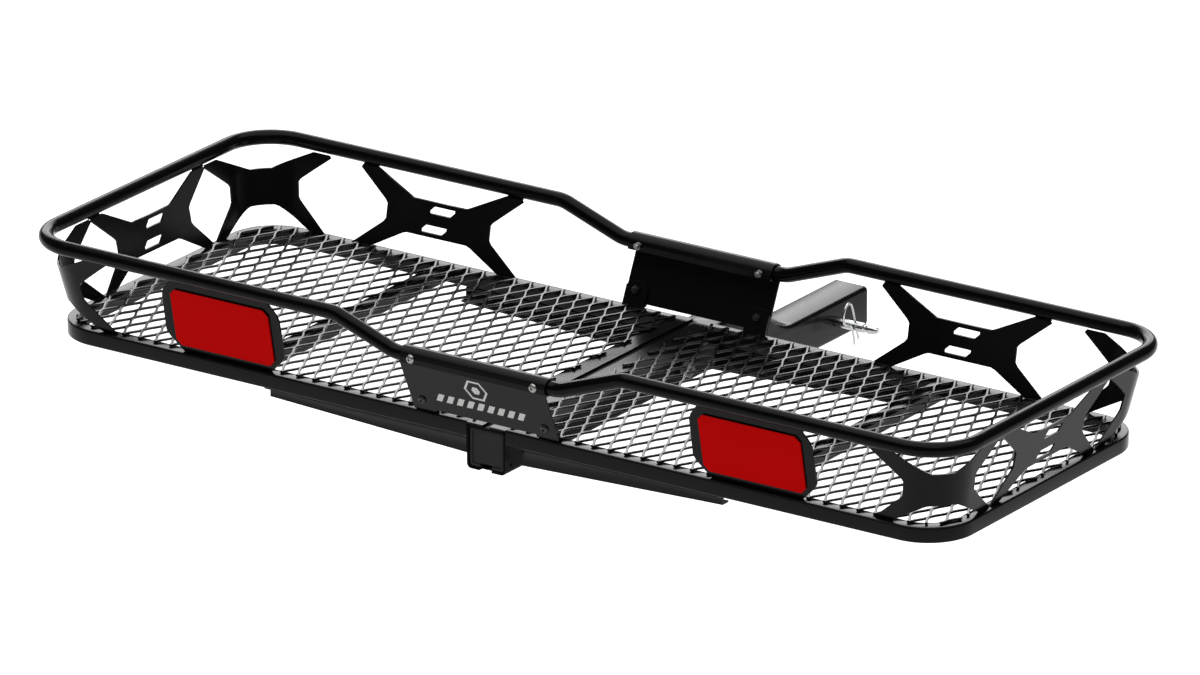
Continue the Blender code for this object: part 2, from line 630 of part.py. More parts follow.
# ---- pin and clip ---------------------------------------------------------------------------
def hitch_pin():
    """Bent pin: straight body through the shank, grooved tip, handle turned down at -X."""
    r = PIN_DIAMETER / 2
    left = -(SHANK / 2 + 0.022)
    path = fillet([(left, -0.052, -0.030), (left, 0, 0), (PIN_OUT, 0, 0)], [0.016], 6)
    stops = [(PIN_OUT - 0.0200, 1.0), (PIN_OUT - 0.0190, 0.78), (PIN_OUT - 0.0150, 0.78),
             (PIN_OUT - 0.0135, 0.97), (PIN_OUT - 0.0060, 0.80), (PIN_OUT - 0.0010, 0.52), (PIN_OUT, 0.36)]
    path = path[:-1] + [Vector((x, 0, 0)) for x, _ in stops]
    scale = [0.85] + [1.0] * (len(path) - len(stops) - 1) + [k for _, k in stops]
    rings = sweep_rings(path, circle(r, 16), up=Vector((0, -0.5, 0.866)))
    rings = [[tuple(p + (Vector(q) - p) * k) for q in ring] for ring, p, k in zip(rings, path, scale)]
    body = rings_to_mesh("hitch_pin", rings)
    tilt = Vector((0, math.sin(CLIP_TILT), -math.cos(CLIP_TILT)))
    hole = drill((CLIP_OUT, 0, 0), tilt, CLIP_WIRE / 2 + 2 * GAP, PIN_DIAMETER * 1.6, 10)
    return put("hitch_pin", merged(body, hole), ZINC, 0.25, 1.0, smooth=40)


def pin_clip():
    """R-shaped spring clip: straight leg through the pin, bent leg over its outside."""
    hug = PIN_DIAMETER / 2 + CLIP_WIRE / 2 + 2 * GAP
    line = [(0.0, -0.021), (0.0, 0.026), (0.0015, 0.0345), (0.0065, 0.0385), (hug + 0.0060, 0.0365),
            (hug + 0.0118, 0.0290), (hug + 0.0140, 0.0205), (hug + 0.0095, 0.0140), (hug + 0.0038, 0.0100),
            (hug + 0.0008, 0.0062), (hug, 0.0020), (hug, -0.0040), (hug, -0.0090), (hug + 0.0002, -0.0135),
            (hug + 0.0008, -0.0175), (hug + 0.0020, -0.0215)]
    down = Vector((0, math.sin(CLIP_TILT), -math.cos(CLIP_TILT)))
    aside = Vector((0, -math.cos(CLIP_TILT), -math.sin(CLIP_TILT)))
    path = [Vector((CLIP_OUT, 0, 0)) + aside * a - down * b for a, b in line]
    rings = []
    for i, p in enumerate(path):
        a = path[max(i - 1, 0)]
        b = path[min(i + 1, len(path) - 1)]
        t = (b - a).normalized()
        u = Vector((1, 0, 0))
        v = t.cross(u)
        rings.append([tuple(p + u * x + v * y) for x, y in circle(CLIP_WIRE / 2, 8)])
    clip = put("pin_clip", rings_to_mesh("pin_clip", rings), ZINC, 0.22, 1.0, smooth=60)
    clip.data.transform(Matrix.Translation((-CLIP_OUT, 0, 0)))
    clip.location = (CLIP_OUT, 0, 0)
    return clip


# ---- rails, plates, fasteners ---------------------------------------------------------------
def rail(name, sx):
    z_high = BASE_TOP + RAIL_HEIGHT
    z_low = BASE_TOP + RAIL_LOW
    y1 = HALF_W + RAIL_OUTSET
    x1 = HALF_L + RAIL_OUTSET
    start = CENTRE_SPLIT
    corners = [(start, -y1, z_low), (DIP_IN, -y1, z_low), (DIP_OUT, -y1, z_high), (x1, -y1, z_high),
               (x1, y1, z_high), (DIP_OUT, y1, z_high), (DIP_IN, y1, z_low), (start, y1, z_low)]
    path = fillet([(sx * x, MID_Y + y, z) for x, y, z in corners],
                  [DIP_BEND, DIP_BEND, RAIL_CORNER, RAIL_CORNER, DIP_BEND, DIP_BEND], 3)
    outer = sweep_rings(path, circle(RAIL_R, 12))
    inner = sweep_rings(path, circle(RAIL_R - RAIL_WALL, 12))
    tube = rings_to_mesh(name, outer, inner)
    holes = [drill((sx * PLATE_BOLT_X, MID_Y + sy * y1, z_low), (0, 1, 0), BOLT / 2 + GAP, RAIL_DIAMETER * 2)
             for _, sy in ENDS]
    return put(name, merged(tube, *holes), smooth=50)


def offset_line(points, distance):
    """Polyline moved sideways by a distance, mitred at its corners."""
    out = []
    for i, p in enumerate(points):
        a = np.array(points[max(i - 1, 0)])
        b = np.array(points[min(i + 1, len(points) - 1)])
        p = np.array(p)
        d0 = (p - a) / (np.linalg.norm(p - a) or 1.0)
        d1 = (b - p) / (np.linalg.norm(b - p) or 1.0)
        if i == 0:
            d0 = d1
        if i == len(points) - 1:
            d1 = d0
        n0 = np.array([d0[1], -d0[0]])
        n1 = np.array([d1[1], -d1[0]])
        n = n0 + n1
        out.append(tuple(p + n * (2 * distance / n.dot(n))))
    return out


def centre_plate(name, sy):
    """Plate with two feet, sloping out to the rail and hooked over it."""
    outer = offset_line(PLATE_LINE, BAR_SHEET / 2)
    inner = offset_line(PLATE_LINE, -BAR_SHEET / 2)
    shape = outer + inner[::-1]
    body = extrude(name, shape, lambda a, b, t: world(t, a, b, sy), -PLATE_HALF, PLATE_HALF)
    y_rail = MID_Y + sy * (HALF_W + RAIL_OUTSET)
    tools = []
    notch = [(-0.03, -0.01), (0.02, -0.01), (0.02, NOTCH_HEIGHT), (-0.03, NOTCH_HEIGHT)]
    tools.append(extrude("notch", notch, lambda a, b, t: world(t, a, b, sy), -PLATE_NOTCH, PLATE_NOTCH))
    for _, sx in SIDES:
        tools.append(drill((sx * PLATE_BOLT_X, y_rail, BASE_TOP + RAIL_LOW), (0, 1, 0),
                           BOLT / 2 + GAP, RAIL_DIAMETER * 2))
        tools.append(drill(world(sx * PLATE_BOLT_X, *on_plate(LOW_BOLT_S, 0.0), sy), low_bolt_axis(sy),
                           BOLT / 2 + GAP, 0.02))
    return put(name, merged(body, *tools), smooth=25)


def plate_fasteners(word, sy, side, sx):
    """Button-head bolt through plate and rail, and the bolt through plate foot and tab."""
    r = BOLT / 2
    x = sx * PLATE_BOLT_X
    reach = RAIL_R + GAP + BAR_SHEET + GAP
    middle = (x, MID_Y + sy * (HALF_W + RAIL_OUTSET), BASE_TOP + RAIL_LOW)
    head = [(-reach - 0.0032, 0.0020), (-reach - 0.0028, 0.0038), (-reach - 0.0012, 0.0054), (-reach, 0.0057)]
    top = revolve("rail_bolt", head + [(-reach, r), (reach + 0.0060, r), (reach + 0.0068, r - 0.0006)],
                  middle, (0, -sy, 0), 12)
    put("rail_bolt_%s_%s" % (word, side), top, ZINC, 0.28, 1.0, smooth=35)
    spot = Vector(middle) + Vector((0, -sy, 0)) * reach
    made = nut("rail_nut", spot, (0, -sy, 0), 0.0090, 0.0046, r + GAP)
    put("rail_nut_%s_%s" % (word, side), made, ZINC, 0.34, 1.0, smooth=30)
    axis = -low_bolt_axis(sy)
    start = Vector(world(x, *on_plate(LOW_BOLT_S, BAR_SHEET / 2 + GAP), sy))
    depth = BAR_SHEET + TAB_SHEET + 3 * GAP
    head = [(-0.0032, 0.0022), (-0.0028, 0.0040), (-0.0012, 0.0056), (0.0, 0.0060)]
    low = revolve("foot_bolt", head + [(0.0, r), (depth + 0.0060, r), (depth + 0.0068, r - 0.0006)],
                  start, axis, 12)
    put("foot_bolt_%s_%s" % (word, side), low, (0.03, 0.03, 0.03), 0.35, 0.6, smooth=35)
    made = nut("foot_nut", start + axis * depth, axis, 0.0090, 0.0046, r + GAP)
    put("foot_nut_%s_%s" % (word, side), made, (0.03, 0.03, 0.03), 0.35, 0.6, smooth=30)


def reflector(side, sx):
    """Clipped plate between base frame and rail at the front, with a lens on its face."""
    h = PANEL_H
    place = side_place(sx * PANEL_X, -1)
    half = [(0.066, 0.0), (0.085, 0.185 * h), (0.0895, 0.26 * h), (0.0885, 0.76 * h), (0.0855, 0.84 * h),
            (0.0730, h)]
    outline = half + [(-u, v) for u, v in reversed(half)]
    plate = extrude("plate", outline, place, -PANEL_SHEET / 2, PANEL_SHEET / 2)
    put("reflector_bracket_" + side, plate)
    t0 = PANEL_SHEET / 2 + GAP
    half = [(0.0665, 0.088 * h), (0.0740, 0.165 * h), (0.0740, 0.80 * h), (0.0665, 0.875 * h)]
    outline = half + [(-u, v) for u, v in reversed(half)]
    lens = extrude("lens", outline, place, t0, t0 + LENS_SHEET)
    put("reflector_lens_" + side, lens, (0.36, 0.0, 0.0), 0.3, 0.0)


def build():
    for side, sx in SIDES:
        base_frame("base_frame_" + side, sx)
        centre_bar("centre_bar_" + side, sx)
        cross_tube("cross_tube_" + side, sx)
        floor_mesh("floor_mesh_" + side, sx)
        rail("rail_" + side, sx)
        flat_panel("side_panel_" + side, SIDE_OUTLINE, side_place(sx * PANEL_X, 1))
        flat_panel("end_panel_" + side, END_OUTLINE, end_place(sx))
        reflector(side, sx)
        for word, sy in ENDS:
            support_beam("support_beam_%s_%s" % (word, side), sx, sy)
            corner_panel("corner_panel_%s_%s" % (word, side), sx, sy)
            plate_fasteners(word, sy, side, sx)
    for word, sy in ENDS:
        centre_plate("centre_plate_" + word, sy)
    spine()
    shank()
    shank_fasteners()
    hitch_pin()
    pin_clip()


build()
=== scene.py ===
"""Hitch cargo carrier: finished surfaces, materials, floor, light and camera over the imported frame.

Axes: X along the basket, +Y towards the vehicle, +Z up, metres. The origin is the hitch-pin hole.
"""
import json
import logging
import math
from dataclasses import dataclass, field
from enum import Enum

import bmesh
import bpy
import numpy as np
from mathutils import Matrix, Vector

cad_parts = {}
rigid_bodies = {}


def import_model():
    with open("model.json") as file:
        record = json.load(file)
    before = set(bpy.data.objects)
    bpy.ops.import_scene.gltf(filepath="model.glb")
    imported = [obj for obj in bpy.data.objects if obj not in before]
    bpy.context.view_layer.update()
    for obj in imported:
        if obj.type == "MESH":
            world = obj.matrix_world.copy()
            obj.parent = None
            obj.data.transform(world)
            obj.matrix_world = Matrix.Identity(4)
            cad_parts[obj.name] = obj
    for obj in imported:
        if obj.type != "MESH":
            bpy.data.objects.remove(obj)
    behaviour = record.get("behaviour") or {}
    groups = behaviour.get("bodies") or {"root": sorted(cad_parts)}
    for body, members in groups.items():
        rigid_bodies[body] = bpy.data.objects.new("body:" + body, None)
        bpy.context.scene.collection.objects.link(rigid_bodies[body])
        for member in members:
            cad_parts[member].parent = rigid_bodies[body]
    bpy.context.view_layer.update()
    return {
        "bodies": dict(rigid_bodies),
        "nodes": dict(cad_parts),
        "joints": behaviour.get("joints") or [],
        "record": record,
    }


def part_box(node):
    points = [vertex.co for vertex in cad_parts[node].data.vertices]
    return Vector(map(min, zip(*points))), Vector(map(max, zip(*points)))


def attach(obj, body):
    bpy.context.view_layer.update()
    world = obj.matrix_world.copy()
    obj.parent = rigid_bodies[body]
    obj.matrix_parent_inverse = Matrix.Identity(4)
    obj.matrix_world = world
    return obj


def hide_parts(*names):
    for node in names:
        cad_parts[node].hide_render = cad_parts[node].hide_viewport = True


LOG = logging.getLogger("carrier")
GAP = 0.0003
SIDES = (("left", -1.0), ("right", 1.0))
ENDS = (("front", -1.0), ("rear", 1.0))


class Slot(Enum):
    """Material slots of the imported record."""

    COAT = "black_coat"
    FLOOR = "floor_coat"
    CAP = "end_cap_black"
    ZINC = "zinc_plate"
    DARK = "dark_fastener"
    RED = "red_reflector"


class Pattern(Enum):
    """Kinds of fine relief that a finish can carry."""

    ORANGE_PEEL = "orange peel"
    BRUSHED = "brushed"
    PRISMS = "prisms"


@dataclass(frozen=True)
class Finish:
    """One surface finish, built as a node material on object coordinates."""

    name: str
    slot: Slot
    colour: tuple
    second: tuple
    roughness: float
    spread: float
    specular: float = 0.5
    metallic: float = 0.0
    coat: float = 0.0
    pattern: Pattern = Pattern.ORANGE_PEEL
    cell: float = 0.0011
    relief: float = 0.00004

    def material(self) -> bpy.types.Material:
        """Builds the material once and hands out the same one afterwards.

        Colour: a slow noise mixes the two colours. Roughness: a medium noise swings it by the
        spread. Relief: fine noise, stretched noise or a cell pattern drives a bump.

        Returns:
            The node material.
        """
        known = bpy.data.materials.get(self.name)
        if known is not None:
            return known
        mat = bpy.data.materials.new(self.name)
        mat.use_nodes = True
        tree = mat.node_tree
        shader = tree.nodes["Principled BSDF"]
        shader.inputs["Metallic"].default_value = self.metallic
        shader.inputs["Specular IOR Level"].default_value = self.specular
        shader.inputs["Coat Weight"].default_value = self.coat
        shader.inputs["Coat Roughness"].default_value = 0.12
        place = tree.nodes.new("ShaderNodeTexCoord")
        slow = self._noise(tree, place, 9.0, 3.0)
        mix = tree.nodes.new("ShaderNodeMix")
        mix.data_type = "RGBA"
        mix.inputs["A"].default_value = (*self.colour, 1.0)
        mix.inputs["B"].default_value = (*self.second, 1.0)
        tree.links.new(slow.outputs["Fac"], mix.inputs["Factor"])
        tree.links.new(mix.outputs["Result"], shader.inputs["Base Color"])
        medium = self._noise(tree, place, 70.0, 2.0)
        swing = tree.nodes.new("ShaderNodeMapRange")
        swing.inputs["From Min"].default_value = 0.3
        swing.inputs["From Max"].default_value = 0.7
        swing.inputs["To Min"].default_value = self.roughness - self.spread
        swing.inputs["To Max"].default_value = self.roughness + self.spread
        tree.links.new(medium.outputs["Fac"], swing.inputs["Value"])
        tree.links.new(swing.outputs["Result"], shader.inputs["Roughness"])
        self._relief(tree, place, shader)
        return mat

    @staticmethod
    def _noise(tree: bpy.types.NodeTree, place: bpy.types.Node, scale: float,
               detail: float) -> bpy.types.Node:
        """Adds a noise texture on object coordinates and returns it."""
        node = tree.nodes.new("ShaderNodeTexNoise")
        node.inputs["Scale"].default_value = scale
        node.inputs["Detail"].default_value = detail
        tree.links.new(place.outputs["Object"], node.inputs["Vector"])
        return node

    def _relief(self, tree: bpy.types.NodeTree, place: bpy.types.Node, shader: bpy.types.Node) -> None:
        """Adds the fine relief as a bump on the shader's normal."""
        bump = tree.nodes.new("ShaderNodeBump")
        bump.inputs["Strength"].default_value = 0.6
        bump.inputs["Distance"].default_value = self.relief
        if self.pattern is Pattern.PRISMS:
            turn = tree.nodes.new("ShaderNodeMapping")
            turn.inputs["Rotation"].default_value = (math.radians(12.0), 0.0, 0.0)
            turn.inputs["Scale"].default_value = (1.0, 0.0, 1.0)
            tree.links.new(place.outputs["Object"], turn.inputs["Vector"])
            cells = tree.nodes.new("ShaderNodeTexVoronoi")
            cells.inputs["Scale"].default_value = 1.0 / self.cell
            cells.inputs["Randomness"].default_value = 0.0
            tree.links.new(turn.outputs["Vector"], cells.inputs["Vector"])
            tree.links.new(cells.outputs["Distance"], bump.inputs["Height"])
        elif self.pattern is Pattern.BRUSHED:
            stretch = tree.nodes.new("ShaderNodeMapping")
            stretch.inputs["Scale"].default_value = (0.12, 1.0, 1.0)
            tree.links.new(place.outputs["Object"], stretch.inputs["Vector"])
            grain = self._noise(tree, place, 1.0 / self.cell, 4.0)
            tree.links.new(stretch.outputs["Vector"], grain.inputs["Vector"])
            tree.links.new(grain.outputs["Fac"], bump.inputs["Height"])
        else:
            grain = self._noise(tree, place, 1.0 / self.cell, 2.0)
            tree.links.new(grain.outputs["Fac"], bump.inputs["Height"])
        tree.links.new(bump.outputs["Normal"], shader.inputs["Normal"])


COAT = Finish("satin_black_coat", Slot.COAT, (0.0024, 0.0024, 0.0025), (0.0036, 0.0035, 0.0034),
              0.20, 0.015, specular=0.095, relief=0.000006)
# Shaded copy of the black coat for the rail: darker and less glossy, painted shade that dims the rail's
# reflection of the floor.
RAIL_PAINTED_SHADE_COAT = Finish("black_coat_with_painted_shade_on_rail", Slot.COAT, (0.0010, 0.0010, 0.0010), (0.0016, 0.0016, 0.0015),
                   0.20, 0.02, specular=0.075, relief=0.000006)
# Shaded copy of the black coat for the spine: darker and nearly without gloss, painted shade so the spine's
# top in the slot between the centre bars stays black.
SPINE_PAINTED_SHADE_COAT = Finish("black_coat_with_painted_shade_on_spine", Slot.COAT, (0.0020, 0.0020, 0.0021), (0.0028, 0.0028, 0.0027),
                    0.34, 0.03, specular=0.02, relief=0.000008)
FLOOR_COAT = Finish("satin_black_coat_on_grille", Slot.FLOOR, (0.0028, 0.0028, 0.0029),
                    (0.0044, 0.0044, 0.0042), 0.24, 0.03, specular=0.20, relief=0.000008)
CAP_PLASTIC = Finish("moulded_black_plastic", Slot.CAP, (0.0085, 0.0085, 0.0088), (0.0110, 0.0110, 0.0110),
                     0.48, 0.05, specular=0.15, cell=0.0006)
ZINC = Finish("bright_zinc", Slot.ZINC, (0.40, 0.41, 0.42), (0.50, 0.50, 0.49), 0.20, 0.05, metallic=1.0,
              pattern=Pattern.BRUSHED, cell=0.0008, relief=0.00003)
DULL_ZINC = Finish("dull_zinc", Slot.ZINC, (0.24, 0.24, 0.24), (0.32, 0.32, 0.31), 0.34, 0.06, metallic=1.0,
                   pattern=Pattern.BRUSHED, cell=0.0008, relief=0.00002)
DARK = Finish("black_oxide", Slot.DARK, (0.020, 0.020, 0.021), (0.034, 0.033, 0.032), 0.36, 0.06,
              metallic=0.6, cell=0.0007)
RED = Finish("red_lens", Slot.RED, (0.43, 0.0001, 0.0001), (0.46, 0.0001, 0.0001), 0.34, 0.03,
             specular=0.012, pattern=Pattern.PRISMS, cell=0.0026, relief=0.00006)
INK = Finish("light_grey_ink", Slot.COAT, (0.44, 0.44, 0.43), (0.50, 0.50, 0.49), 0.5, 0.04, specular=0.2,
             cell=0.0005, relief=0.00002)


# ---- numpy shapes ----------------------------------------------------------------------------
@dataclass
class Shell:
    """Points and faces gathered from several closed shapes into one mesh."""

    points: list = field(default_factory=list)
    faces: list = field(default_factory=list)
    count: int = 0

    def add(self, points: np.ndarray, *groups: np.ndarray) -> "Shell":
        """Adds points (N, 3) and face index arrays (F, K) counted from 0; returns itself."""
        self.points.append(points)
        self.faces += [(group + self.count).tolist() for group in groups]
        self.count += len(points)
        return self

    def mesh(self, name: str, sharp: float = 35.0, recalc: bool = True) -> bpy.types.Mesh:
        """Builds the mesh.

        Args:
            name: the mesh's name.
            sharp: edges steeper than this many degrees stay sharp.
            recalc: turn the normals outwards.

        Returns:
            The smooth-shaded mesh.
        """
        mesh = bpy.data.meshes.new(name)
        faces = [face for group in self.faces for face in group]
        mesh.from_pydata(np.concatenate(self.points).tolist(), [], faces)
        if recalc:
            work = bmesh.new()
            work.from_mesh(mesh)
            bmesh.ops.recalc_face_normals(work, faces=work.faces)
            work.to_mesh(mesh)
            work.free()
        smooth(mesh, sharp)
        return mesh


def smooth(mesh: bpy.types.Mesh, sharp: float) -> None:
    """Shades a mesh smooth and keeps edges over the given angle in degrees sharp."""
    mesh.polygons.foreach_set("use_smooth", np.ones(len(mesh.polygons), dtype=bool))
    mesh.set_sharp_from_angle(angle=math.radians(sharp))
    mesh.update()


def grid_quads(rows: int, cols: int, wrap_rows: bool = False, wrap_cols: bool = False) -> np.ndarray:
    """Quads between neighbouring rows and columns of a grid of points, row by row.

    Args:
        rows: number of rows.
        cols: number of columns.
        wrap_rows: join the last row to the first.
        wrap_cols: join the last column to the first.

    Returns:
        Array (F, 4) of indices into the flattened grid.
    """
    r = np.arange(rows if wrap_rows else rows - 1)[:, None]
    c = np.arange(cols if wrap_cols else cols - 1)[None, :]
    r1, c1 = (r + 1) % rows, (c + 1) % cols
    return np.stack([r * cols + c, r * cols + c1, r1 * cols + c1, r1 * cols + c], -1).reshape(-1, 4)


def unit(v: np.ndarray) -> np.ndarray:
    """Vectors divided by their lengths along the last axis."""
    return v / np.linalg.norm(v, axis=-1, keepdims=True)


def sweep(path: np.ndarray, section: np.ndarray, up: tuple = (0.0, 0.0, 1.0)) -> np.ndarray:
    """Carries a flat section along a path.

    At each path point the tangent is the mean of the directions before and after it, side is
    tangent x up, top is side x tangent, and a section point (a, b) lands at path + a side + b top.

    Args:
        path: points (N, 3).
        section: points (M, 2), or one section per path point (N, M, 2).
        up: the direction that top leans towards.

    Returns:
        Points (N, M, 3).
    """
    step = unit(np.diff(path, axis=0))
    tangent = unit(np.vstack([step[:1], step]) + np.vstack([step, step[-1:]]))
    side = unit(np.cross(tangent, np.array(up)))
    top = np.cross(side, tangent)
    shape = np.broadcast_to(section, (len(path),) + section.shape[-2:])
    return path[:, None] + shape[..., :1] * side[:, None] + shape[..., 1:] * top[:, None]


def capped(rings: np.ndarray) -> tuple:
    """(points, side quads, end caps) of a solid from rings (N, M, 3)."""
    n, m = rings.shape[:2]
    ends = np.stack([np.arange(m)[::-1], np.arange(m) + (n - 1) * m])
    return rings.reshape(-1, 3), grid_quads(n, m, wrap_cols=True), ends


def tube(path: np.ndarray, outer: np.ndarray, inner: np.ndarray) -> tuple:
    """(points, quads) of an open tube: the rings go out along the outside and back along the inside."""
    rings = np.concatenate([sweep(path, outer), sweep(path, inner)[::-1]])
    return rings.reshape(-1, 3), grid_quads(len(rings), rings.shape[1], wrap_rows=True, wrap_cols=True)


def circle(radius: float, count: int) -> np.ndarray:
    """Points (count, 2) of a circle."""
    a = np.arange(count) * 2 * np.pi / count
    return radius * np.stack([np.cos(a), np.sin(a)], -1)


def rounded_square(size: float, radius: float, steps: int) -> np.ndarray:
    """Points of a square with arc corners: corner centre plus radius times (cos a, sin a)."""
    a = np.radians(np.linspace(0, 90, steps + 1)[None, :] + 90 * np.arange(4)[:, None])
    centre = (size / 2 - radius) * np.array([[1, 1], [-1, 1], [-1, -1], [1, -1]])
    return (centre[:, None] + radius * np.stack([np.cos(a), np.sin(a)], -1)).reshape(-1, 2)


def rounded_path(corners: list, radii: list, steps: int = 12) -> np.ndarray:
    """Polyline with each inner corner replaced by an arc of the given radius.

    The arc's centre lies on the corner's bisector at radius / sin(half angle), and its points are
    the spherical blend of the arms to the two touching points.

    Args:
        corners: the polyline's points.
        radii: one radius for each inner corner.
        steps: arc segments.

    Returns:
        Points (N, 3).
    """
    pts = np.array(corners, float)
    out = [pts[:1]]
    f = np.linspace(0, 1, steps + 1)[:, None]
    for i, radius in enumerate(radii, start=1):
        a, b = unit(pts[i - 1] - pts[i]), unit(pts[i + 1] - pts[i])
        half = math.acos(float(np.clip(a @ b, -1, 1))) / 2
        centre = pts[i] + unit(a + b) * radius / math.sin(half)
        start = pts[i] + a * radius / math.tan(half) - centre
        end = pts[i] + b * radius / math.tan(half) - centre
        turn = math.acos(float(np.clip(start @ end / radius ** 2, -1, 1)))
        out.append(centre + (start * np.sin((1 - f) * turn) + end * np.sin(f * turn)) / math.sin(turn))
    out.append(pts[-1:])
    return np.concatenate(out)


def spline(points: np.ndarray, steps: int) -> np.ndarray:
    """Catmull-Rom curve through points (N, D), with the given number of steps a span."""
    p = np.concatenate([2 * points[:1] - points[1:2], points, 2 * points[-1:] - points[-2:-1]])
    t = (np.arange(steps) / steps)[None, :, None]
    a, b, c, d = p[:-3, None], p[1:-2, None], p[2:-1, None], p[3:, None]
    curve = 0.5 * (2 * b + (c - a) * t + (2 * a - 5 * b + 4 * c - d) * t ** 2
                   + (3 * b - a - 3 * c + d) * t ** 3)
    return np.concatenate([curve.reshape(-1, points.shape[1]), points[-1:]])


@dataclass
class Workshop:
    """Makes pieces out of meshes and ties them to the frame."""

    frame: dict
    made: int = 0

    def piece(self, name: str, mesh: bpy.types.Mesh, finish: Finish, body: str = "carrier",
              nodes: tuple = ()) -> bpy.types.Object:
        """Links a mesh as a piece with its finish, body and the CAD nodes it stands for.

        Args:
            name: the piece's name.
            mesh: its mesh, in place.
            finish: its surface finish.
            body: the body that it rides on.
            nodes: CAD nodes that it replaces.

        Returns:
            The new object.
        """
        obj = bpy.data.objects.new(name, mesh)
        bpy.context.scene.collection.objects.link(obj)
        mesh.materials.clear()
        mesh.materials.append(finish.material())
        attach(obj, body)
        if nodes:
            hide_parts(*nodes)
        self.made += 1
        LOG.info("%s: %d faces, rides on %s", name, len(mesh.polygons), body)
        return obj

    def refined(self, node: str, finish: Finish, body: str = "carrier", sharp: float = 32.0,
                bevel: float = 0.0) -> bpy.types.Object:
        """A merged, smooth-shaded copy of a CAD node, with an optional fine edge rounding.

        Args:
            node: the CAD node.
            finish: its surface finish.
            body: the body that it rides on.
            sharp: edges over this many degrees stay sharp.
            bevel: width of the edge rounding, or 0.

        Returns:
            The new object.
        """
        mesh = self.frame["nodes"][node].data.copy()
        work = bmesh.new()
        work.from_mesh(mesh)
        bmesh.ops.remove_doubles(work, verts=work.verts, dist=2e-6)
        bmesh.ops.dissolve_limit(work, angle_limit=math.radians(0.4), verts=work.verts, edges=work.edges)
        work.to_mesh(mesh)
        work.free()
        smooth(mesh, sharp)
        obj = self.piece(node + "_finished", mesh, finish, body, (node,))
        if bevel:
            round_edges(obj, bevel)
        return obj


def round_edges(obj: bpy.types.Object, width: float, segments: int = 2) -> None:
    """Adds a Bevel modifier of the given width to the sharp edges of a piece."""
    mod = obj.modifiers.new("edge", "BEVEL")
    mod.width = width
    mod.segments = segments
    mod.limit_method = "ANGLE"
    mod.angle_limit = math.radians(38)
    mod.harden_normals = True


# ---- sub-assemblies --------------------------------------------------------------------------
@dataclass
class Layout:
    """Places shared by the sub-assemblies, read from the boxes of the CAD nodes."""

    tube: float = 0.020
    rail_radius: float = 0.009525
    rail_out: float = 0.0175
    corner: float = 0.0643
    rail_corner: float = 0.0640
    inset: float = 0.0085
    tuck: float = 0.0040
    shift_low: float = 0.0035
    shift_top: float = 0.0038
    plate_sheet: float = 0.0024
    tab_sheet: float = 0.0030
    bolt_x: float = 0.0905
    panel_x: float = 0.39176
    cross_x: float = 0.3738

    def __post_init__(self) -> None:
        """Works out the middle line, half sizes and heights."""
        low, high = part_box("spine_tube")
        self.mid_y = (low[1] + high[1]) / 2
        self.half_w = (high[1] - low[1]) / 2
        low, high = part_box("base_frame_right")
        self.half_l = high[0]
        self.tube_start = low[0]
        self.bottom = low[2]
        self.top = low[2] + self.tube
        low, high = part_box("rail_right")
        self.split = low[0]
        self.rail_high = high[2] - self.rail_radius
        self.rail_low = low[2] + self.rail_radius
        self.rail_y = (high[1] - low[1]) / 2 - self.rail_radius
        self.rail_x = high[0] - self.rail_radius
        self.rise = self.rail_high - self.top
        self.panel_h = self.rise - self.rail_radius - 2 * GAP


@dataclass
class Rail:
    """The round top rail: two bent tubes that dip at the centre plates."""

    wall: float = 0.0016
    dip_in: float = 0.122
    dip_out: float = 0.212
    bend: float = 0.050

    def build(self, shop: Workshop, at: Layout) -> None:
        """Sweeps a circle along the dipped, rounded plan line of each half."""
        for side, sx in SIDES:
            y, x = at.rail_y, at.rail_x
            lo, hi = at.rail_low, at.rail_high
            corners = [(at.split, -y, lo), (self.dip_in, -y, lo), (self.dip_out, -y, hi), (x, -y, hi),
                       (x, y, hi), (self.dip_out, y, hi), (self.dip_in, y, lo), (at.split, y, lo)]
            line = rounded_path(corners, [self.bend] * 2 + [at.rail_corner] * 2 + [self.bend] * 2, 14)
            line = line * np.array([sx, 1.0, 1.0]) + np.array([0.0, at.mid_y, 0.0])
            outer, inner = circle(at.rail_radius, 32), circle(at.rail_radius - self.wall, 32)
            shell = Shell().add(*tube(line, outer, inner))
            # The rail wears the shaded copy of the black coat: painted shade.
            shop.piece("rail_tube_" + side, shell.mesh("rail"), RAIL_PAINTED_SHADE_COAT, nodes=("rail_" + side,))


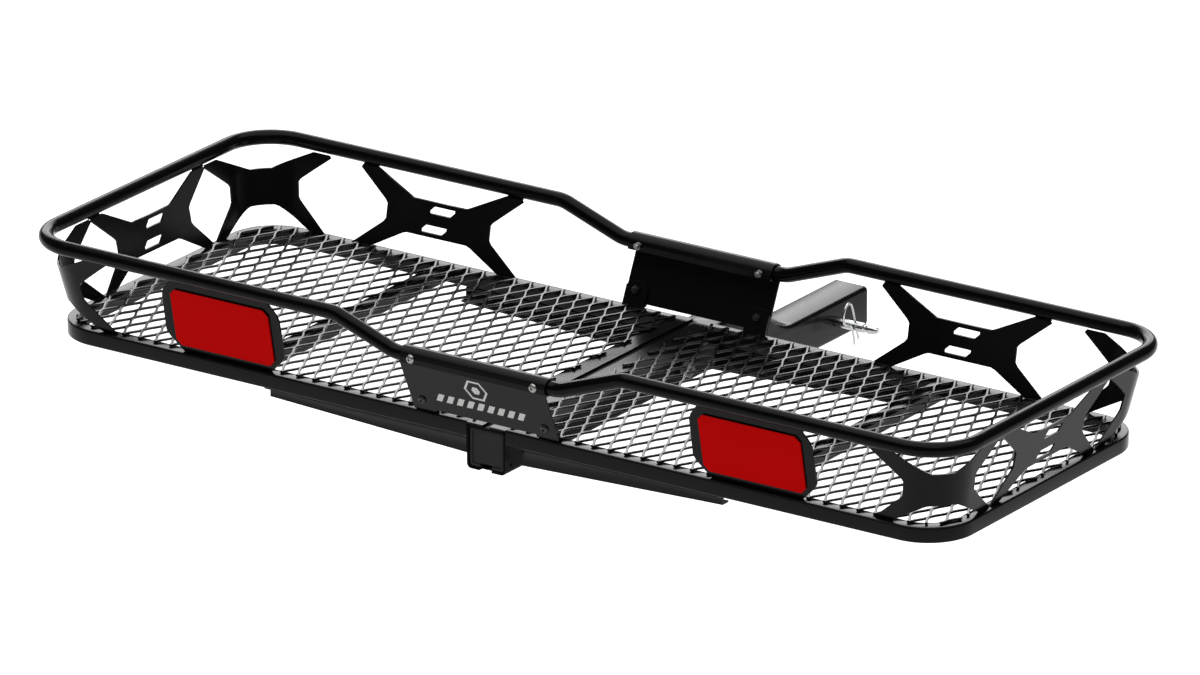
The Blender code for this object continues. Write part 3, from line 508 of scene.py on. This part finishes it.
@dataclass
class BaseFrame:
    """The square-tube base frame with the upright tabs behind the plate feet."""

    wall: float = 0.0020
    edge: float = 0.0024
    tab_height: float = 0.030
    tab_sheet: float = 0.0030
    plate_sheet: float = 0.0024
    plate_half: float = 0.107
    plate_notch: float = 0.074

    def build(self, shop: Workshop, at: Layout) -> None:
        """Sweeps the rounded square along each half's plan line and adds the tabs."""
        plate = PlateLine(at)
        for side, sx in SIDES:
            h, w, r = at.half_l - at.tube / 2, at.half_w - at.tube / 2, at.corner - at.tube / 2
            z = at.top - at.tube / 2
            line = rounded_path([(at.tube_start, -w, z), (h, -w, z), (h, w, z), (at.tube_start, w, z)],
                                [r, r], 18)
            line = line * np.array([sx, 1.0, 1.0]) + np.array([0.0, at.mid_y, 0.0])
            outer = rounded_square(at.tube, self.edge, 4)
            inner = rounded_square(at.tube - 2 * self.wall, 0.0008, 4)
            shell = Shell().add(*tube(line, outer, inner))
            for _, sy in ENDS:
                shell.add(*self._tab(at, plate, sx, sy))
            shop.piece("base_tube_" + side, shell.mesh("base"), COAT, nodes=("base_frame_" + side,))

    def _tab(self, at: Layout, plate: "PlateLine", sx: float, sy: float) -> tuple:
        """(points, caps, sides) of one tab: its clipped outline stands parallel to the plate foot."""
        half = (self.plate_half - self.plate_notch) / 2 - GAP
        mid = (self.plate_half + self.plate_notch) / 2
        clip = 0.006
        foot, top = -self.wall * 0.6, self.tab_height
        outline = np.array([(-half, foot), (half, foot), (half, top - clip), (half - clip, top),
                            (clip - half, top), (-half, top - clip)])
        rings = []
        for t in (0.0, self.tab_sheet):
            out = plate.line[0, 0] + (outline[:, 1] - plate.line[0, 1]) * plate.along[0] / plate.along[1]
            out = out - (self.plate_sheet / 2 + GAP + t) / plate.out[0]
            rings.append(np.stack([sx * (mid + outline[:, 0]), at.mid_y + sy * (at.half_w + out),
                                   at.top + outline[:, 1]], -1))
        return capped(np.stack(rings))


class PlateLine:
    """Middle line of a centre plate, from its foot up the slope and over the rail."""

    def __init__(self, at: Layout, sheet: float = 0.0024) -> None:
        """Works out the line as (outward, height), and its direction and outward normal."""
        ring = at.rail_radius + GAP + sheet / 2
        low = at.rail_low - at.top
        a = np.linspace(0, np.pi, 17)
        hook = np.stack([at.rail_out + ring * np.cos(a), low + ring * np.sin(a)], -1)
        self.line = np.concatenate([[(-0.0032, GAP + sheet / 2), (at.rail_out + ring, low - 0.006)], hook,
                                    [(at.rail_out - ring, low - 0.0075)]])
        self.sheet = sheet
        self.along = unit(self.line[1] - self.line[0])
        self.out = np.array([self.along[1], -self.along[0]])
        self.at = at

    def spot(self, x: np.ndarray, s: np.ndarray, t: float, sy: float) -> np.ndarray:
        """World points at x, distance s up the slope and t outside the middle line."""
        flat = self.line[0] + np.multiply.outer(np.asarray(s, float), self.along) + t * self.out
        x = np.broadcast_to(np.asarray(x, float), flat.shape[:-1])
        return np.stack([x, self.at.mid_y + sy * (self.at.half_w + flat[..., 0]),
                         self.at.top + flat[..., 1]], -1)


@dataclass
class GrilleFloor:
    """Expanded-metal floor: two lattices of slit and stretched strands that meet in bonds."""

    pitch_x: float = 0.02404
    rows: int = 16
    edge_y: float = 0.2193
    clip_y: float = 0.2180
    clip_x: float = 0.6520
    inner_x: float = 0.0215
    width: float = 0.0030
    height: float = 0.0030
    sway: float = 0.0008
    phase: tuple = (0.0247, 0.0297)

    def build(self, shop: Workshop, at: Layout) -> None:
        """Builds each half as one piece of clipped strands."""
        for (side, sx), start in zip(SIDES, self.phase):
            shell = Shell()
            for lean in (1.0, -1.0):
                a, b = self._strands(start, lean)
                a, b = self._clipped(a, b, at)
                shell.add(*self._solids(a, b, lean * sx, at, sx))
            shop.piece("grille_floor_" + side, shell.mesh("floor", 25.0), FLOOR_COAT,
                       nodes=("floor_mesh_" + side,))

    def _strands(self, start: float, lean: float) -> tuple:
        """Ends (N, 2) of the strands: row j runs from bond (i + j/2 mod 1) to the next row's bond."""
        step = 2 * self.edge_y / self.rows
        j = np.arange(self.rows)[:, None]
        i = np.arange(-1, 28)[None, :]
        x0 = start + (i + 0.5 * (j % 2)) * self.pitch_x
        y0 = -self.edge_y + j * step + 0 * x0
        a = np.stack([x0, y0], -1).reshape(-1, 2)
        return a, a + np.array([lean * self.pitch_x / 2, step])

    def _inside(self, p: np.ndarray, at: Layout) -> np.ndarray:
        """Distance inside the sheet's rounded outline, negative outside."""
        r = at.corner - at.inset - 0.003
        q = np.stack([p[:, 0] - (self.clip_x - r), np.abs(p[:, 1]) - (self.clip_y - r)], -1)
        corner = r - np.linalg.norm(np.maximum(q, 0), axis=1) - np.minimum(np.max(q, axis=1), 0)
        return np.minimum(corner, p[:, 0] - self.inner_x)

    def _clipped(self, a: np.ndarray, b: np.ndarray, at: Layout) -> tuple:
        """Strand ends moved to where they cross the outline, by halving the step 24 times."""
        keep = np.maximum(self._inside(a, at), self._inside(b, at)) > 0.0015
        a, b = a[keep], b[keep]
        flip = self._inside(a, at) < self._inside(b, at)
        a[flip], b[flip] = b[flip], a[flip].copy()
        lo, hi = np.zeros(len(a)), np.ones(len(a))
        for _ in range(24):
            mid = (lo + hi) / 2
            good = self._inside(a + (b - a) * mid[:, None], at) > 0
            lo, hi = np.where(good, mid, lo), np.where(good, hi, mid)
        return a, a + (b - a) * hi[:, None]

    def _solids(self, a: np.ndarray, b: np.ndarray, lean: float, at: Layout, sx: float) -> tuple:
        """Points and faces of all strands: an eight-sided section at nine stations along each.

        The section is a rectangle with cut corners, rolled about the strand, that gets wider
        towards the bonds.
        """
        f = np.linspace(0.0, 1.0, 9)
        swell = 1.0 + 0.25 * np.abs(2 * f - 1) ** 3
        w, h, c = self.width / 2, self.height / 2, 0.0005
        sec = np.array([(w - c, -h), (w, -h + c), (w, h - c), (w - c, h), (c - w, h), (-w, h - c),
                        (-w, -h + c), (c - w, -h)])
        roll = math.radians(4.0) * lean
        sec = sec @ np.array([[math.cos(roll), math.sin(roll)], [-math.sin(roll), math.cos(roll)]])
        step = 2 * self.edge_y / self.rows
        core = a[:, None] + (b - a)[:, None] * f[None, :, None]
        along = (core[..., 1] + self.edge_y) / step % 1.0
        core[..., 0] -= lean * sx * self.sway * np.sin(2 * np.pi * along)
        slope = lean * sx * (self.pitch_x / 2 - self.sway * 2 * np.pi * np.cos(2 * np.pi * along)) / step
        side = unit(np.stack([np.ones_like(slope), -slope], -1))
        flat = core[:, :, None] + side[:, :, None] * (sec[None, None, :, :1] * swell[None, :, None, None])
        z = np.broadcast_to(sec[None, None, :, 1], flat.shape[:3])
        z0 = at.top + GAP + self.height / 2 + 0.0001
        pts = np.stack([sx * flat[..., 0], at.mid_y + flat[..., 1], z0 + z], -1).reshape(-1, 3)
        n, m = len(f), len(sec)
        quads = grid_quads(n, m, wrap_cols=True)
        ends = np.stack([np.arange(m)[::-1], np.arange(m) + (n - 1) * m])
        base = (np.arange(len(a)) * n * m)[:, None, None]
        return pts, (quads[None] + base).reshape(-1, 4), (ends[None] + base).reshape(-1, m)


@dataclass
class CornerPanels:
    """The X-shaped panels rolled round the four corners of the basket."""

    sheet: float = 0.0025
    tip: float = 0.0997
    arm_in: float = 0.0727
    waist: float = 0.0495
    foot: float = 0.0903
    foot_in: float = 0.0673
    flat: float = 0.014
    flat_low: float = 0.016

    def build(self, shop: Workshop, at: Layout) -> None:
        """Builds the four panels as thickened, bent sheets."""
        for side, sx in SIDES:
            for end, sy in ENDS:
                name = "corner_panel_%s_%s" % (end, side)
                shell = self._sheet(at, sx, sy)
                mesh = shell.mesh(name, 40.0, recalc=False)
                work = bmesh.new()
                work.from_mesh(mesh)
                bmesh.ops.remove_doubles(work, verts=work.verts, dist=1e-6)
                bmesh.ops.recalc_face_normals(work, faces=work.faces)
                work.to_mesh(mesh)
                work.free()
                smooth(mesh, 40.0)
                shop.piece("rolled_" + name, mesh, COAT, nodes=(name,))

    def _edges(self, h: float) -> tuple:
        """(heights, outer edge, inner break line) of half the outline, and the two notch heights."""
        up = np.array([0.0, 0.350, 0.398, 0.588, 0.632, 0.965, 1.0]) * h
        out = np.array([self.foot, self.waist + 0.0035, self.waist, self.waist, self.waist + 0.0035,
                        self.tip, self.tip - 0.002])
        inn_h = np.array([0.0, 0.258, 0.277, 0.729, 0.756, 1.0]) * h
        inn = np.array([self.foot_in, self.flat_low + 0.006, self.flat_low, self.flat, self.flat + 0.006,
                        self.arm_in])
        rows = np.unique(np.round(np.concatenate([up, inn_h, np.linspace(0, h, 25)]), 7))
        return rows, np.interp(rows, up, out), np.interp(rows, inn_h, inn), 0.277 * h, 0.729 * h

    def _sheet(self, at: Layout, sx: float, sy: float) -> Shell:
        """One panel: two grids a half (outer limb, inner web), bent, then given its thickness."""
        rows, out, inn, low, high = self._edges(at.panel_h)
        s = np.linspace(0, 1, 15)
        patches = []
        web = (rows >= low - 1e-7) & (rows <= high + 1e-7)
        for sign in (-1.0, 1.0):
            limb = inn[:, None] + (out - inn)[:, None] * s
            patches.append((sign * limb, np.broadcast_to(rows[:, None], limb.shape)))
            core = inn[web][:, None] * s[::2]
            patches.append((sign * core, np.broadcast_to(rows[web][:, None], core.shape)))
        shell = Shell()
        faces_of = []
        for u, h in patches:
            faces_of.append(grid_quads(*u.shape))
        for t in (-self.sheet / 2, self.sheet / 2):
            for (u, h), quads in zip(patches, faces_of):
                shell.add(self._bent(at, u.ravel(), h.ravel(), t, sx, sy), quads)
        for u, h in self._rims(patches, web):
            strip = np.stack([self._bent(at, u, h, t, sx, sy) for t in (-self.sheet / 2, self.sheet / 2)])
            shell.add(strip.reshape(-1, 3), grid_quads(2, len(u)))
        return shell

    @staticmethod
    def _rims(patches: list, web: np.ndarray) -> list:
        """Boundary lines (u, h) of the sheet: outer edges, arm ends, arm insides and notch flats."""
        first, last = np.flatnonzero(web)[[0, -1]]
        lines = []
        for k in (0, 2):
            u, h = patches[k]
            lines += [(u[:, -1], h[:, -1]), (u[0], h[0]), (u[-1], h[-1])]
            lines += [(u[:first + 1, 0], h[:first + 1, 0]), (u[last:, 0], h[last:, 0])]
            u, h = patches[k + 1]
            lines += [(u[0], h[0]), (u[-1], h[-1])]
        return lines

    def _bent(self, at: Layout, u: np.ndarray, h: np.ndarray, t: float, sx: float, sy: float) -> np.ndarray:
        """Points of the leaning corner wall.

        A distance u along the wall is laid off on the corner line at the foot and under the rail,
        scaled by each line's radius over their mean and shifted towards the end wall; the point
        lies between the two in the share of its height, moved out by t along the blended normal.
        """
        k = (h / at.rise)[:, None]
        low, top = at.corner - at.inset, at.rail_corner - at.tuck
        mean = (low + top) / 2
        out = at.rail_out - at.tuck
        foot, n0 = self._corner(u * low / mean + at.shift_low, at.half_l - at.inset,
                                at.half_w - at.inset, low)
        head, n1 = self._corner(u * top / mean + at.shift_top, at.half_l + out, at.half_w + out, top)
        p = foot + (head - foot) * k + unit(n0 + (n1 - n0) * k) * t
        return np.stack([sx * p[:, 0], at.mid_y + sy * p[:, 1], at.top + GAP + h], -1)

    @staticmethod
    def _corner(d: np.ndarray, a: float, b: float, r: float) -> tuple:
        """Points and normals at distance d from the middle of a corner arc: line, arc, line."""
        arc = np.pi / 4 * r
        t = np.clip(np.pi / 4 + d / r, 0, np.pi / 2)
        n = np.stack([np.sin(t), np.cos(t)], -1)
        p = np.array([a - r, b - r]) + n * r
        p[:, 0] += np.minimum(d + arc, 0)
        p[:, 1] -= np.maximum(d - arc, 0)
        return p, n


@dataclass
class Emblem:
    """Generic printed mark on the front plate: a hexagon ring over a row of slanted bars."""

    ring_out: float = 0.0175
    ring_in: float = 0.0143
    ring_s: float = 0.0560
    bar_s: float = 0.0290
    bar_width: float = 0.0085
    bar_height: float = 0.0125
    bar_pitch: float = 0.0150
    bars: int = 9
    slant: float = 0.0035
    ink: float = 0.00012

    def build(self, shop: Workshop, at: Layout) -> None:
        """Lays the ring, its centre lozenge and the bars on the plate's outer face."""
        plate = PlateLine(at)
        shell = Shell()
        a = np.arange(6) * np.pi / 3
        hexa = np.stack([np.cos(a), np.sin(a)], -1)
        for radius, hole in ((self.ring_out, self.ring_in), (self.ring_in * 0.45, 0.0)):
            rings = []
            base = plate.sheet / 2 + 0.00002
            for r, t in ((radius, base), (radius, base + self.ink), (hole, base + self.ink), (hole, base)):
                if r > 0:
                    rings.append(plate.spot(hexa[:, 0] * r, self.ring_s + hexa[:, 1] * r, t, -1.0))
            rings = np.stack(rings)
            if hole:
                shell.add(rings.reshape(-1, 3), grid_quads(4, 6, wrap_rows=True, wrap_cols=True))
            else:
                shell.add(*capped(rings))
        w, e = self.bar_width / 2, self.bar_height / 2
        bar = np.array([(-w - self.slant, -e), (w - self.slant, -e), (w + self.slant, e),
                        (self.slant - w, e)])
        for k in range(self.bars):
            x = (k - (self.bars - 1) / 2) * self.bar_pitch
            rings = np.stack([plate.spot(x + bar[:, 0], self.bar_s + bar[:, 1], t, -1.0)
                              for t in (base, base + self.ink)])
            shell.add(*capped(rings))
        shop.piece("plate_emblem", shell.mesh("emblem", 20.0), INK)


@dataclass
class Fasteners:
    """Button-head bolts, flanged nuts and the shank bolt."""

    head_radius: float = 0.0057
    head_height: float = 0.0033
    socket: float = 0.0038
    radius: float = 0.0030
    beyond: float = 0.0068
    foot_s: float = 0.0180

    def build(self, shop: Workshop, at: Layout) -> None:
        """Builds each bolt with a domed head and hexagon socket; nuts keep their CAD shape."""
        reach = at.rail_radius + GAP + at.plate_sheet + GAP
        grip = at.plate_sheet + at.tab_sheet + 3 * GAP
        plate = PlateLine(at)
        for side, sx in SIDES:
            for end, sy in ENDS:
                tag = "%s_%s" % (end, side)
                origin = (sx * at.bolt_x, at.mid_y + sy * at.rail_y, at.rail_low)
                shell = Shell()
                inward = np.array([0.0, -sy, 0.0])
                self._bolt(shell, np.array(origin), inward, -reach, reach + self.beyond, self.radius)
                shop.piece("button_bolt_" + tag, shell.mesh("bolt", 30.0), DULL_ZINC,
                           nodes=("rail_bolt_" + tag,))
                start = plate.spot(sx * at.bolt_x, self.foot_s, plate.sheet / 2 + GAP, sy)
                axis = -np.array([0.0, sy * plate.out[0], plate.out[1]])
                shell = Shell()
                self._bolt(shell, start, axis, 0.0, grip + self.beyond, self.radius)
                shop.piece("foot_button_bolt_" + tag, shell.mesh("bolt", 30.0), DARK,
                           nodes=("foot_bolt_" + tag,))
                shop.refined("rail_nut_" + tag, DULL_ZINC)
                shop.refined("foot_nut_" + tag, DARK)
        shop.refined("shank_bolt", DARK)
        shop.refined("shank_nut", DARK)

    def _bolt(self, shell: Shell, origin: np.ndarray, axis: np.ndarray, seat: float, end: float,
              radius: float) -> None:
        """Adds one bolt: socket floor, socket wall, domed head, shank with ridged thread."""
        n = 24
        a = np.arange(n) * 2 * np.pi / n
        hexa = self.socket / 2 / np.cos((a + np.pi / 6) % (np.pi / 3) - np.pi / 6)
        k = self.head_radius / 0.0064
        top = seat - self.head_height
        stations = [(top + 0.0016, hexa * 0.999), (top, hexa), (top, hexa * 0 + 0.0028 * k),
                    (top + 0.0004, hexa * 0 + 0.0043 * k), (top + 0.0014, hexa * 0 + 0.0057 * k),
                    (top + 0.0026, hexa * 0 + 0.0064 * k), (seat, hexa * 0 + 0.0064 * k),
                    (seat, hexa * 0 + radius)]
        ridge = np.arange(seat + 0.004, end - 0.001, 0.0005)
        stations += [(d, hexa * 0 + radius - 0.00022 * (i % 2)) for i, d in enumerate(ridge)]
        stations += [(end - 0.0008, hexa * 0 + radius), (end, hexa * 0 + radius * 0.8)]
        axis = unit(axis)
        ref = np.array([0.0, 0.0, 1.0])
        u = unit(np.cross(axis, ref))
        v = np.cross(axis, u)
        arms = np.cos(a)[:, None] * u + np.sin(a)[:, None] * v
        rings = np.stack([origin + axis * d + arms * r[:, None] for d, r in stations])
        shell.add(*capped(rings))


@dataclass
class HitchPin:
    """Bent hitch pin with a grooved, chamfered tip and its spring clip."""

    diameter: float = 0.0127
    reach: float = 0.0885
    clip_x: float = 0.0550
    wire: float = 0.0030
    tilt: float = math.radians(18.0)
    handle: tuple = (-0.052, -0.030)
    half_shank: float = 0.0254

    def build(self, shop: Workshop) -> None:
        """Builds pin and clip on their own bodies."""
        r = self.diameter / 2
        left = -(self.half_shank + 0.022)
        line = rounded_path([(left, *self.handle), (left, 0, 0), (self.reach, 0, 0)], [0.016], 14)[:-1]
        tip = np.array([(0.0200, 1.0), (0.0195, 0.86), (0.0185, 0.79), (0.0155, 0.79), (0.0145, 0.87),
                        (0.0138, 0.97), (0.0090, 0.95), (0.0050, 0.80), (0.0015, 0.56), (0.0, 0.36)])
        body = np.stack([np.linspace(left + 0.0165, self.reach - 0.021, 20)] + [np.zeros(20)] * 2, -1)
        ends = np.stack([self.reach - tip[:, 0], 0 * tip[:, 0], 0 * tip[:, 0]], -1)
        path = np.concatenate([line, body[1:], ends])
        scale = np.concatenate([[0.82], np.ones(len(line) + len(body) - 2), tip[:, 1]])
        start = unit(path[:1] - path[1:2]) * 0.0015 + path[:1]
        path = np.concatenate([start, path])
        scale = np.concatenate([[0.55], scale])
        scale[1] = 0.95
        rings = sweep(path, circle(r, 32)[None] * scale[:, None, None], up=(0.0, -0.5, 0.866))
        shop.piece("bent_pin", Shell().add(*capped(rings)).mesh("pin", 40.0), ZINC, "pin", ("hitch_pin",))
        hug = r + self.wire / 2 + 2 * GAP
        flat = np.array([(0.0, -0.021), (0.0, -0.008), (0.0, 0.010), (0.0, 0.026), (0.0015, 0.0345),
                         (0.0065, 0.0385), (hug + 0.0060, 0.0365), (hug + 0.0118, 0.0290),
                         (hug + 0.0140, 0.0205), (hug + 0.0095, 0.0140), (hug + 0.0038, 0.0100),
                         (hug + 0.0008, 0.0062), (hug, 0.0020), (hug, -0.0040), (hug, -0.0090),
                         (hug + 0.0002, -0.0135), (hug + 0.0008, -0.0175), (hug + 0.0020, -0.0215)])
        curve = spline(flat, 7)
        down = np.array([0.0, math.sin(self.tilt), -math.cos(self.tilt)])
        aside = np.array([0.0, -math.cos(self.tilt), -math.sin(self.tilt)])
        path = np.array([self.clip_x, 0, 0]) + curve[:, :1] * aside - curve[:, 1:] * down
        ease = np.ones(len(path))
        ease[[0, -1]] = 0.6
        rings = sweep(path, circle(self.wire / 2, 16)[None] * ease[:, None, None], up=(1.0, 0.0, 0.0))
        mesh = Shell().add(*capped(rings)).mesh("clip", 50.0)
        shop.piece("spring_clip", mesh, ZINC, "clip", ("pin_clip",))


@dataclass
class Welds:
    """Short rippled weld beads at the feet and heads of the panels and brackets."""

    radius: float = 0.0014
    ripple: float = 0.0022
    foot_u: float = 0.109
    head_u: float = 0.110
    bracket_u: float = 0.055
    foot_run: float = 0.020
    head_run: float = 0.025
    bracket_run: float = 0.018
    tube_run: float = 0.014
    tube_side: float = 0.0105

    def build(self, shop: Workshop, at: Layout) -> None:
        """Adds beads inside the feet, under the rail at the heads, and at the cross tubes' ends."""
        shell = Shell()
        z = at.top + 0.0003
        y_in = at.half_w - at.inset - 0.0014
        x_in = at.half_l - at.inset - 0.0014
        head = at.top + at.panel_h + 0.0006
        head_y = at.half_w + at.rail_out - at.tuck - 0.0004
        head_x = at.half_l + at.rail_out - at.tuck - 0.0004
        for _, sx in SIDES:
            for u in (-self.foot_u, self.foot_u):
                a = u - self.foot_run / 2
                self._bead(shell, (sx * at.panel_x + a, at.mid_y + y_in, z), (self.foot_run, 0, 0))
                self._bead(shell, (sx * x_in, at.mid_y + a, z), (0, self.foot_run, 0))
            for u in (-self.bracket_u, 0.0, self.bracket_u):
                start = (sx * at.panel_x + u - self.bracket_run / 2, at.mid_y - y_in, z)
                self._bead(shell, start, (self.bracket_run, 0, 0))
            for u in (-self.head_u, self.head_u):
                a = u - self.head_run / 2
                for sy in (-1.0, 1.0):
                    start = (sx * at.panel_x + a, at.mid_y + sy * head_y, head)
                    self._bead(shell, start, (self.head_run, 0, 0))
                self._bead(shell, (sx * head_x, at.mid_y + a, head), (0, self.head_run, 0))
            for sy in (-1.0, 1.0):
                for dx in (-self.tube_side, self.tube_side):
                    start = (sx * at.cross_x + dx, at.mid_y + sy * (at.half_w - at.tube), at.bottom + 0.003)
                    self._bead(shell, start, (0, 0, self.tube_run))
        shop.piece("weld_beads", shell.mesh("welds", 50.0), COAT)

    def _bead(self, shell: Shell, start: tuple, run: tuple) -> None:
        """One bead: a swept circle whose radius ripples along its length and closes at its ends."""
        f = np.linspace(0, 1, 26)
        length = float(np.linalg.norm(run))
        path = np.array(start) + f[:, None] * np.array(run)
        r = self.radius * (1 + 0.16 * np.sin(2 * np.pi * f * length / self.ripple))
        r = r * np.sqrt(np.clip(1 - (2 * f - 1) ** 8, 0.02, 1))
        up = (0.0, 0.0, 1.0) if abs(run[2]) < 1e-9 else (1.0, 0.0, 0.0)
        shell.add(*capped(sweep(path, circle(1.0, 10)[None] * r[:, None, None], up=up)))


@dataclass
class EndCap:
    """Pressed-in plastic cap of the spine: rounded border, sunk panel and a drain notch."""

    border: float = 0.0042
    sink: float = 0.0012
    notch: tuple = (-0.010, 0.008)
    notch_height: float = 0.0055

    def build(self, shop: Workshop) -> None:
        """Stacks rounded-square rings from the back skirt over the border to the sunk panel."""
        low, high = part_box("spine_end_cap")
        size = high[0] - low[0]
        front, back = low[1], high[1]
        rings = []
        cx, cz = 0.0, (low[2] + high[2]) / 2
        for inset, y in ((0.0, back), (0.0, front + 0.0010), (0.0003, front + 0.0004), (0.0010, front),
                         (self.border, front), (self.border + 0.0006, front + self.sink),
                         (size * 0.30, front + self.sink)):
            sec = rounded_square(size - 2 * inset, max(0.0037 - inset * 0.5, 0.0012), 5)
            rings.append(np.stack([cx + sec[:, 0], 0 * sec[:, 0] + y, cz + sec[:, 1]], -1))
        shell = Shell().add(*capped(np.stack(rings)))
        mesh = self._notched(shell.mesh("cap", 30.0), low[2])
        shop.piece("pressed_end_cap", mesh, CAP_PLASTIC, nodes=("spine_end_cap",))

    def _notched(self, mesh: bpy.types.Mesh, bottom: float) -> bpy.types.Mesh:
        """Cuts the drain notch out of the cap's lower edge and returns the cut mesh."""
        x0, x1 = self.notch
        depth, height = 0.02, 2 * self.notch_height
        sec = np.array([(x0, -height / 2), (x1, -height / 2), (x1, height / 2), (x0, height / 2)])
        low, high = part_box("spine_end_cap")
        rings = [np.stack([sec[:, 0], 0 * sec[:, 0] + y, sec[:, 1] + bottom], -1)
                 for y in (low[1] - depth, high[1] + depth)]
        block = Shell().add(*capped(np.stack(rings))).mesh("notch", 30.0)
        cutter = bpy.data.objects.new("notch_cutter", block)
        holder = bpy.data.objects.new("cap_blank", mesh)
        for obj in (cutter, holder):
            bpy.context.scene.collection.objects.link(obj)
        mod = holder.modifiers.new("notch", "BOOLEAN")
        mod.object = cutter
        mod.operation = "DIFFERENCE"
        mod.solver = "EXACT"
        graph = bpy.context.evaluated_depsgraph_get()
        cut = bpy.data.meshes.new_from_object(holder.evaluated_get(graph))
        for obj in (cutter, holder):
            bpy.data.objects.remove(obj)
        smooth(cut, 30.0)
        return cut


@dataclass
class Studio:
    """Pale floor, soft light and the camera."""

    drop: float = 0.36
    reach: float = 30.0
    glow: float = 0.24
    sky: float = 0.14
    position: tuple = (9.20785, -13.90214, 6.09745)
    right: tuple = (0.824861, 0.565333, -0.001931)
    up: tuple = (-0.193406, 0.285400, 0.938691)
    forward: tuple = (-0.531224, 0.773916, -0.344754)
    lens: float = 423.524

    def build(self) -> None:
        """Adds everything that isn't part of the object."""
        self._camera()
        self._floor()
        self._world()
        self._lamp("back_sky", (-5.2, 6.6, 3.9), 9.0, 4.0, 580.0)
        self._lamp("overhead", (0.0, -0.5, 8.0), 12.0, 12.0, 1050.0)

    def _camera(self) -> None:
        """A long lens that looks down at the basket from its front right."""
        data = bpy.data.cameras.new("camera")
        data.lens = self.lens
        data.sensor_width = 36.0
        data.clip_end = 200.0
        cam = bpy.data.objects.new("camera", data)
        rows = np.array([self.right, self.up, [-c for c in self.forward], self.position])
        matrix = Matrix.Identity(4)
        for k in range(4):
            matrix.col[k][:3] = rows[k].tolist()
        cam.matrix_world = matrix
        bpy.context.scene.collection.objects.link(cam)
        bpy.context.scene.camera = cam

    def _floor(self) -> None:
        """A wide matt floor well below the carrier."""
        mesh = bpy.data.meshes.new("floor")
        s = self.reach
        corners = [(x, y, -self.drop) for x, y in ((-s, -s), (s, -s), (s, s), (-s, s))]
        mesh.from_pydata(corners, [], [(0, 1, 2, 3)])
        floor = bpy.data.objects.new("studio_floor", mesh)
        bpy.context.scene.collection.objects.link(floor)
        mat = bpy.data.materials.new("pale_floor")
        mat.use_nodes = True
        shader = mat.node_tree.nodes["Principled BSDF"]
        shader.inputs["Base Color"].default_value = (0.93, 0.93, 0.93, 1.0)
        shader.inputs["Roughness"].default_value = 0.9
        shader.inputs["Specular IOR Level"].default_value = 0.0
        shader.inputs["Emission Color"].default_value = (1.0, 1.0, 1.0, 1.0)
        shader.inputs["Emission Strength"].default_value = self.glow
        mesh.materials.append(mat)

    def _world(self) -> None:
        """A dim even surround, so that the lamps shape the gloss."""
        world = bpy.data.worlds.new("sky")
        world.use_nodes = True
        back = world.node_tree.nodes["Background"]
        back.inputs["Color"].default_value = (1.0, 1.0, 1.0, 1.0)
        back.inputs["Strength"].default_value = self.sky
        bpy.context.scene.world = world
        bpy.context.scene.view_settings.view_transform = "Standard"

    @staticmethod
    def _lamp(name: str, spot: tuple, width: float, height: float, power: float) -> None:
        """A rectangular area lamp aimed at the middle of the basket."""
        data = bpy.data.lights.new(name, "AREA")
        data.shape = "RECTANGLE"
        data.size = width
        data.size_y = height
        data.energy = power
        lamp = bpy.data.objects.new(name, data)
        lamp.location = spot
        aim = np.array([0.0, -0.45, 0.1]) - np.array(spot)
        back = -unit(aim)
        side = unit(np.cross([0.0, 0.0, 1.0], back))
        top = np.cross(back, side)
        matrix = Matrix.Identity(4)
        for k, axis in enumerate((side, top, back, np.array(spot))):
            matrix.col[k][:3] = axis.tolist()
        lamp.matrix_world = matrix
        bpy.context.scene.collection.objects.link(lamp)


@dataclass
class Sheetwork:
    """Plates, bars, beams, tubes and reflectors that keep their CAD outline."""

    def build(self, shop: Workshop) -> None:
        """Refines each remaining CAD node with its finish."""
        for side, _ in SIDES:
            for name in ("centre_bar_", "cross_tube_", "side_panel_", "end_panel_", "reflector_bracket_"):
                shop.refined(name + side, COAT)
            shop.refined("reflector_lens_" + side, RED, bevel=0.0005)
            for end, _ in ENDS:
                shop.refined("support_beam_%s_%s" % (end, side), COAT)
        for end, _ in ENDS:
            shop.refined("centre_plate_" + end, COAT)
        # The spine wears the shaded copy of the black coat: painted shade in the centre slot.
        shop.refined("spine_tube", SPINE_PAINTED_SHADE_COAT, sharp=45.0)
        shop.refined("receiver_shank", COAT, sharp=45.0)


def main() -> None:
    """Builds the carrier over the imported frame, then the studio."""
    logging.basicConfig(level=logging.INFO, format="%(name)s: %(message)s")
    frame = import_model()
    at = Layout()
    shop = Workshop(frame)
    Rail().build(shop, at)
    BaseFrame().build(shop, at)
    GrilleFloor().build(shop, at)
    CornerPanels().build(shop, at)
    Sheetwork().build(shop)
    Emblem().build(shop, at)
    Fasteners().build(shop, at)
    HitchPin().build(shop)
    Welds().build(shop, at)
    EndCap().build(shop)
    Studio().build()
    LOG.info("%d pieces", shop.made)


if __name__ == "__main__":
    main()
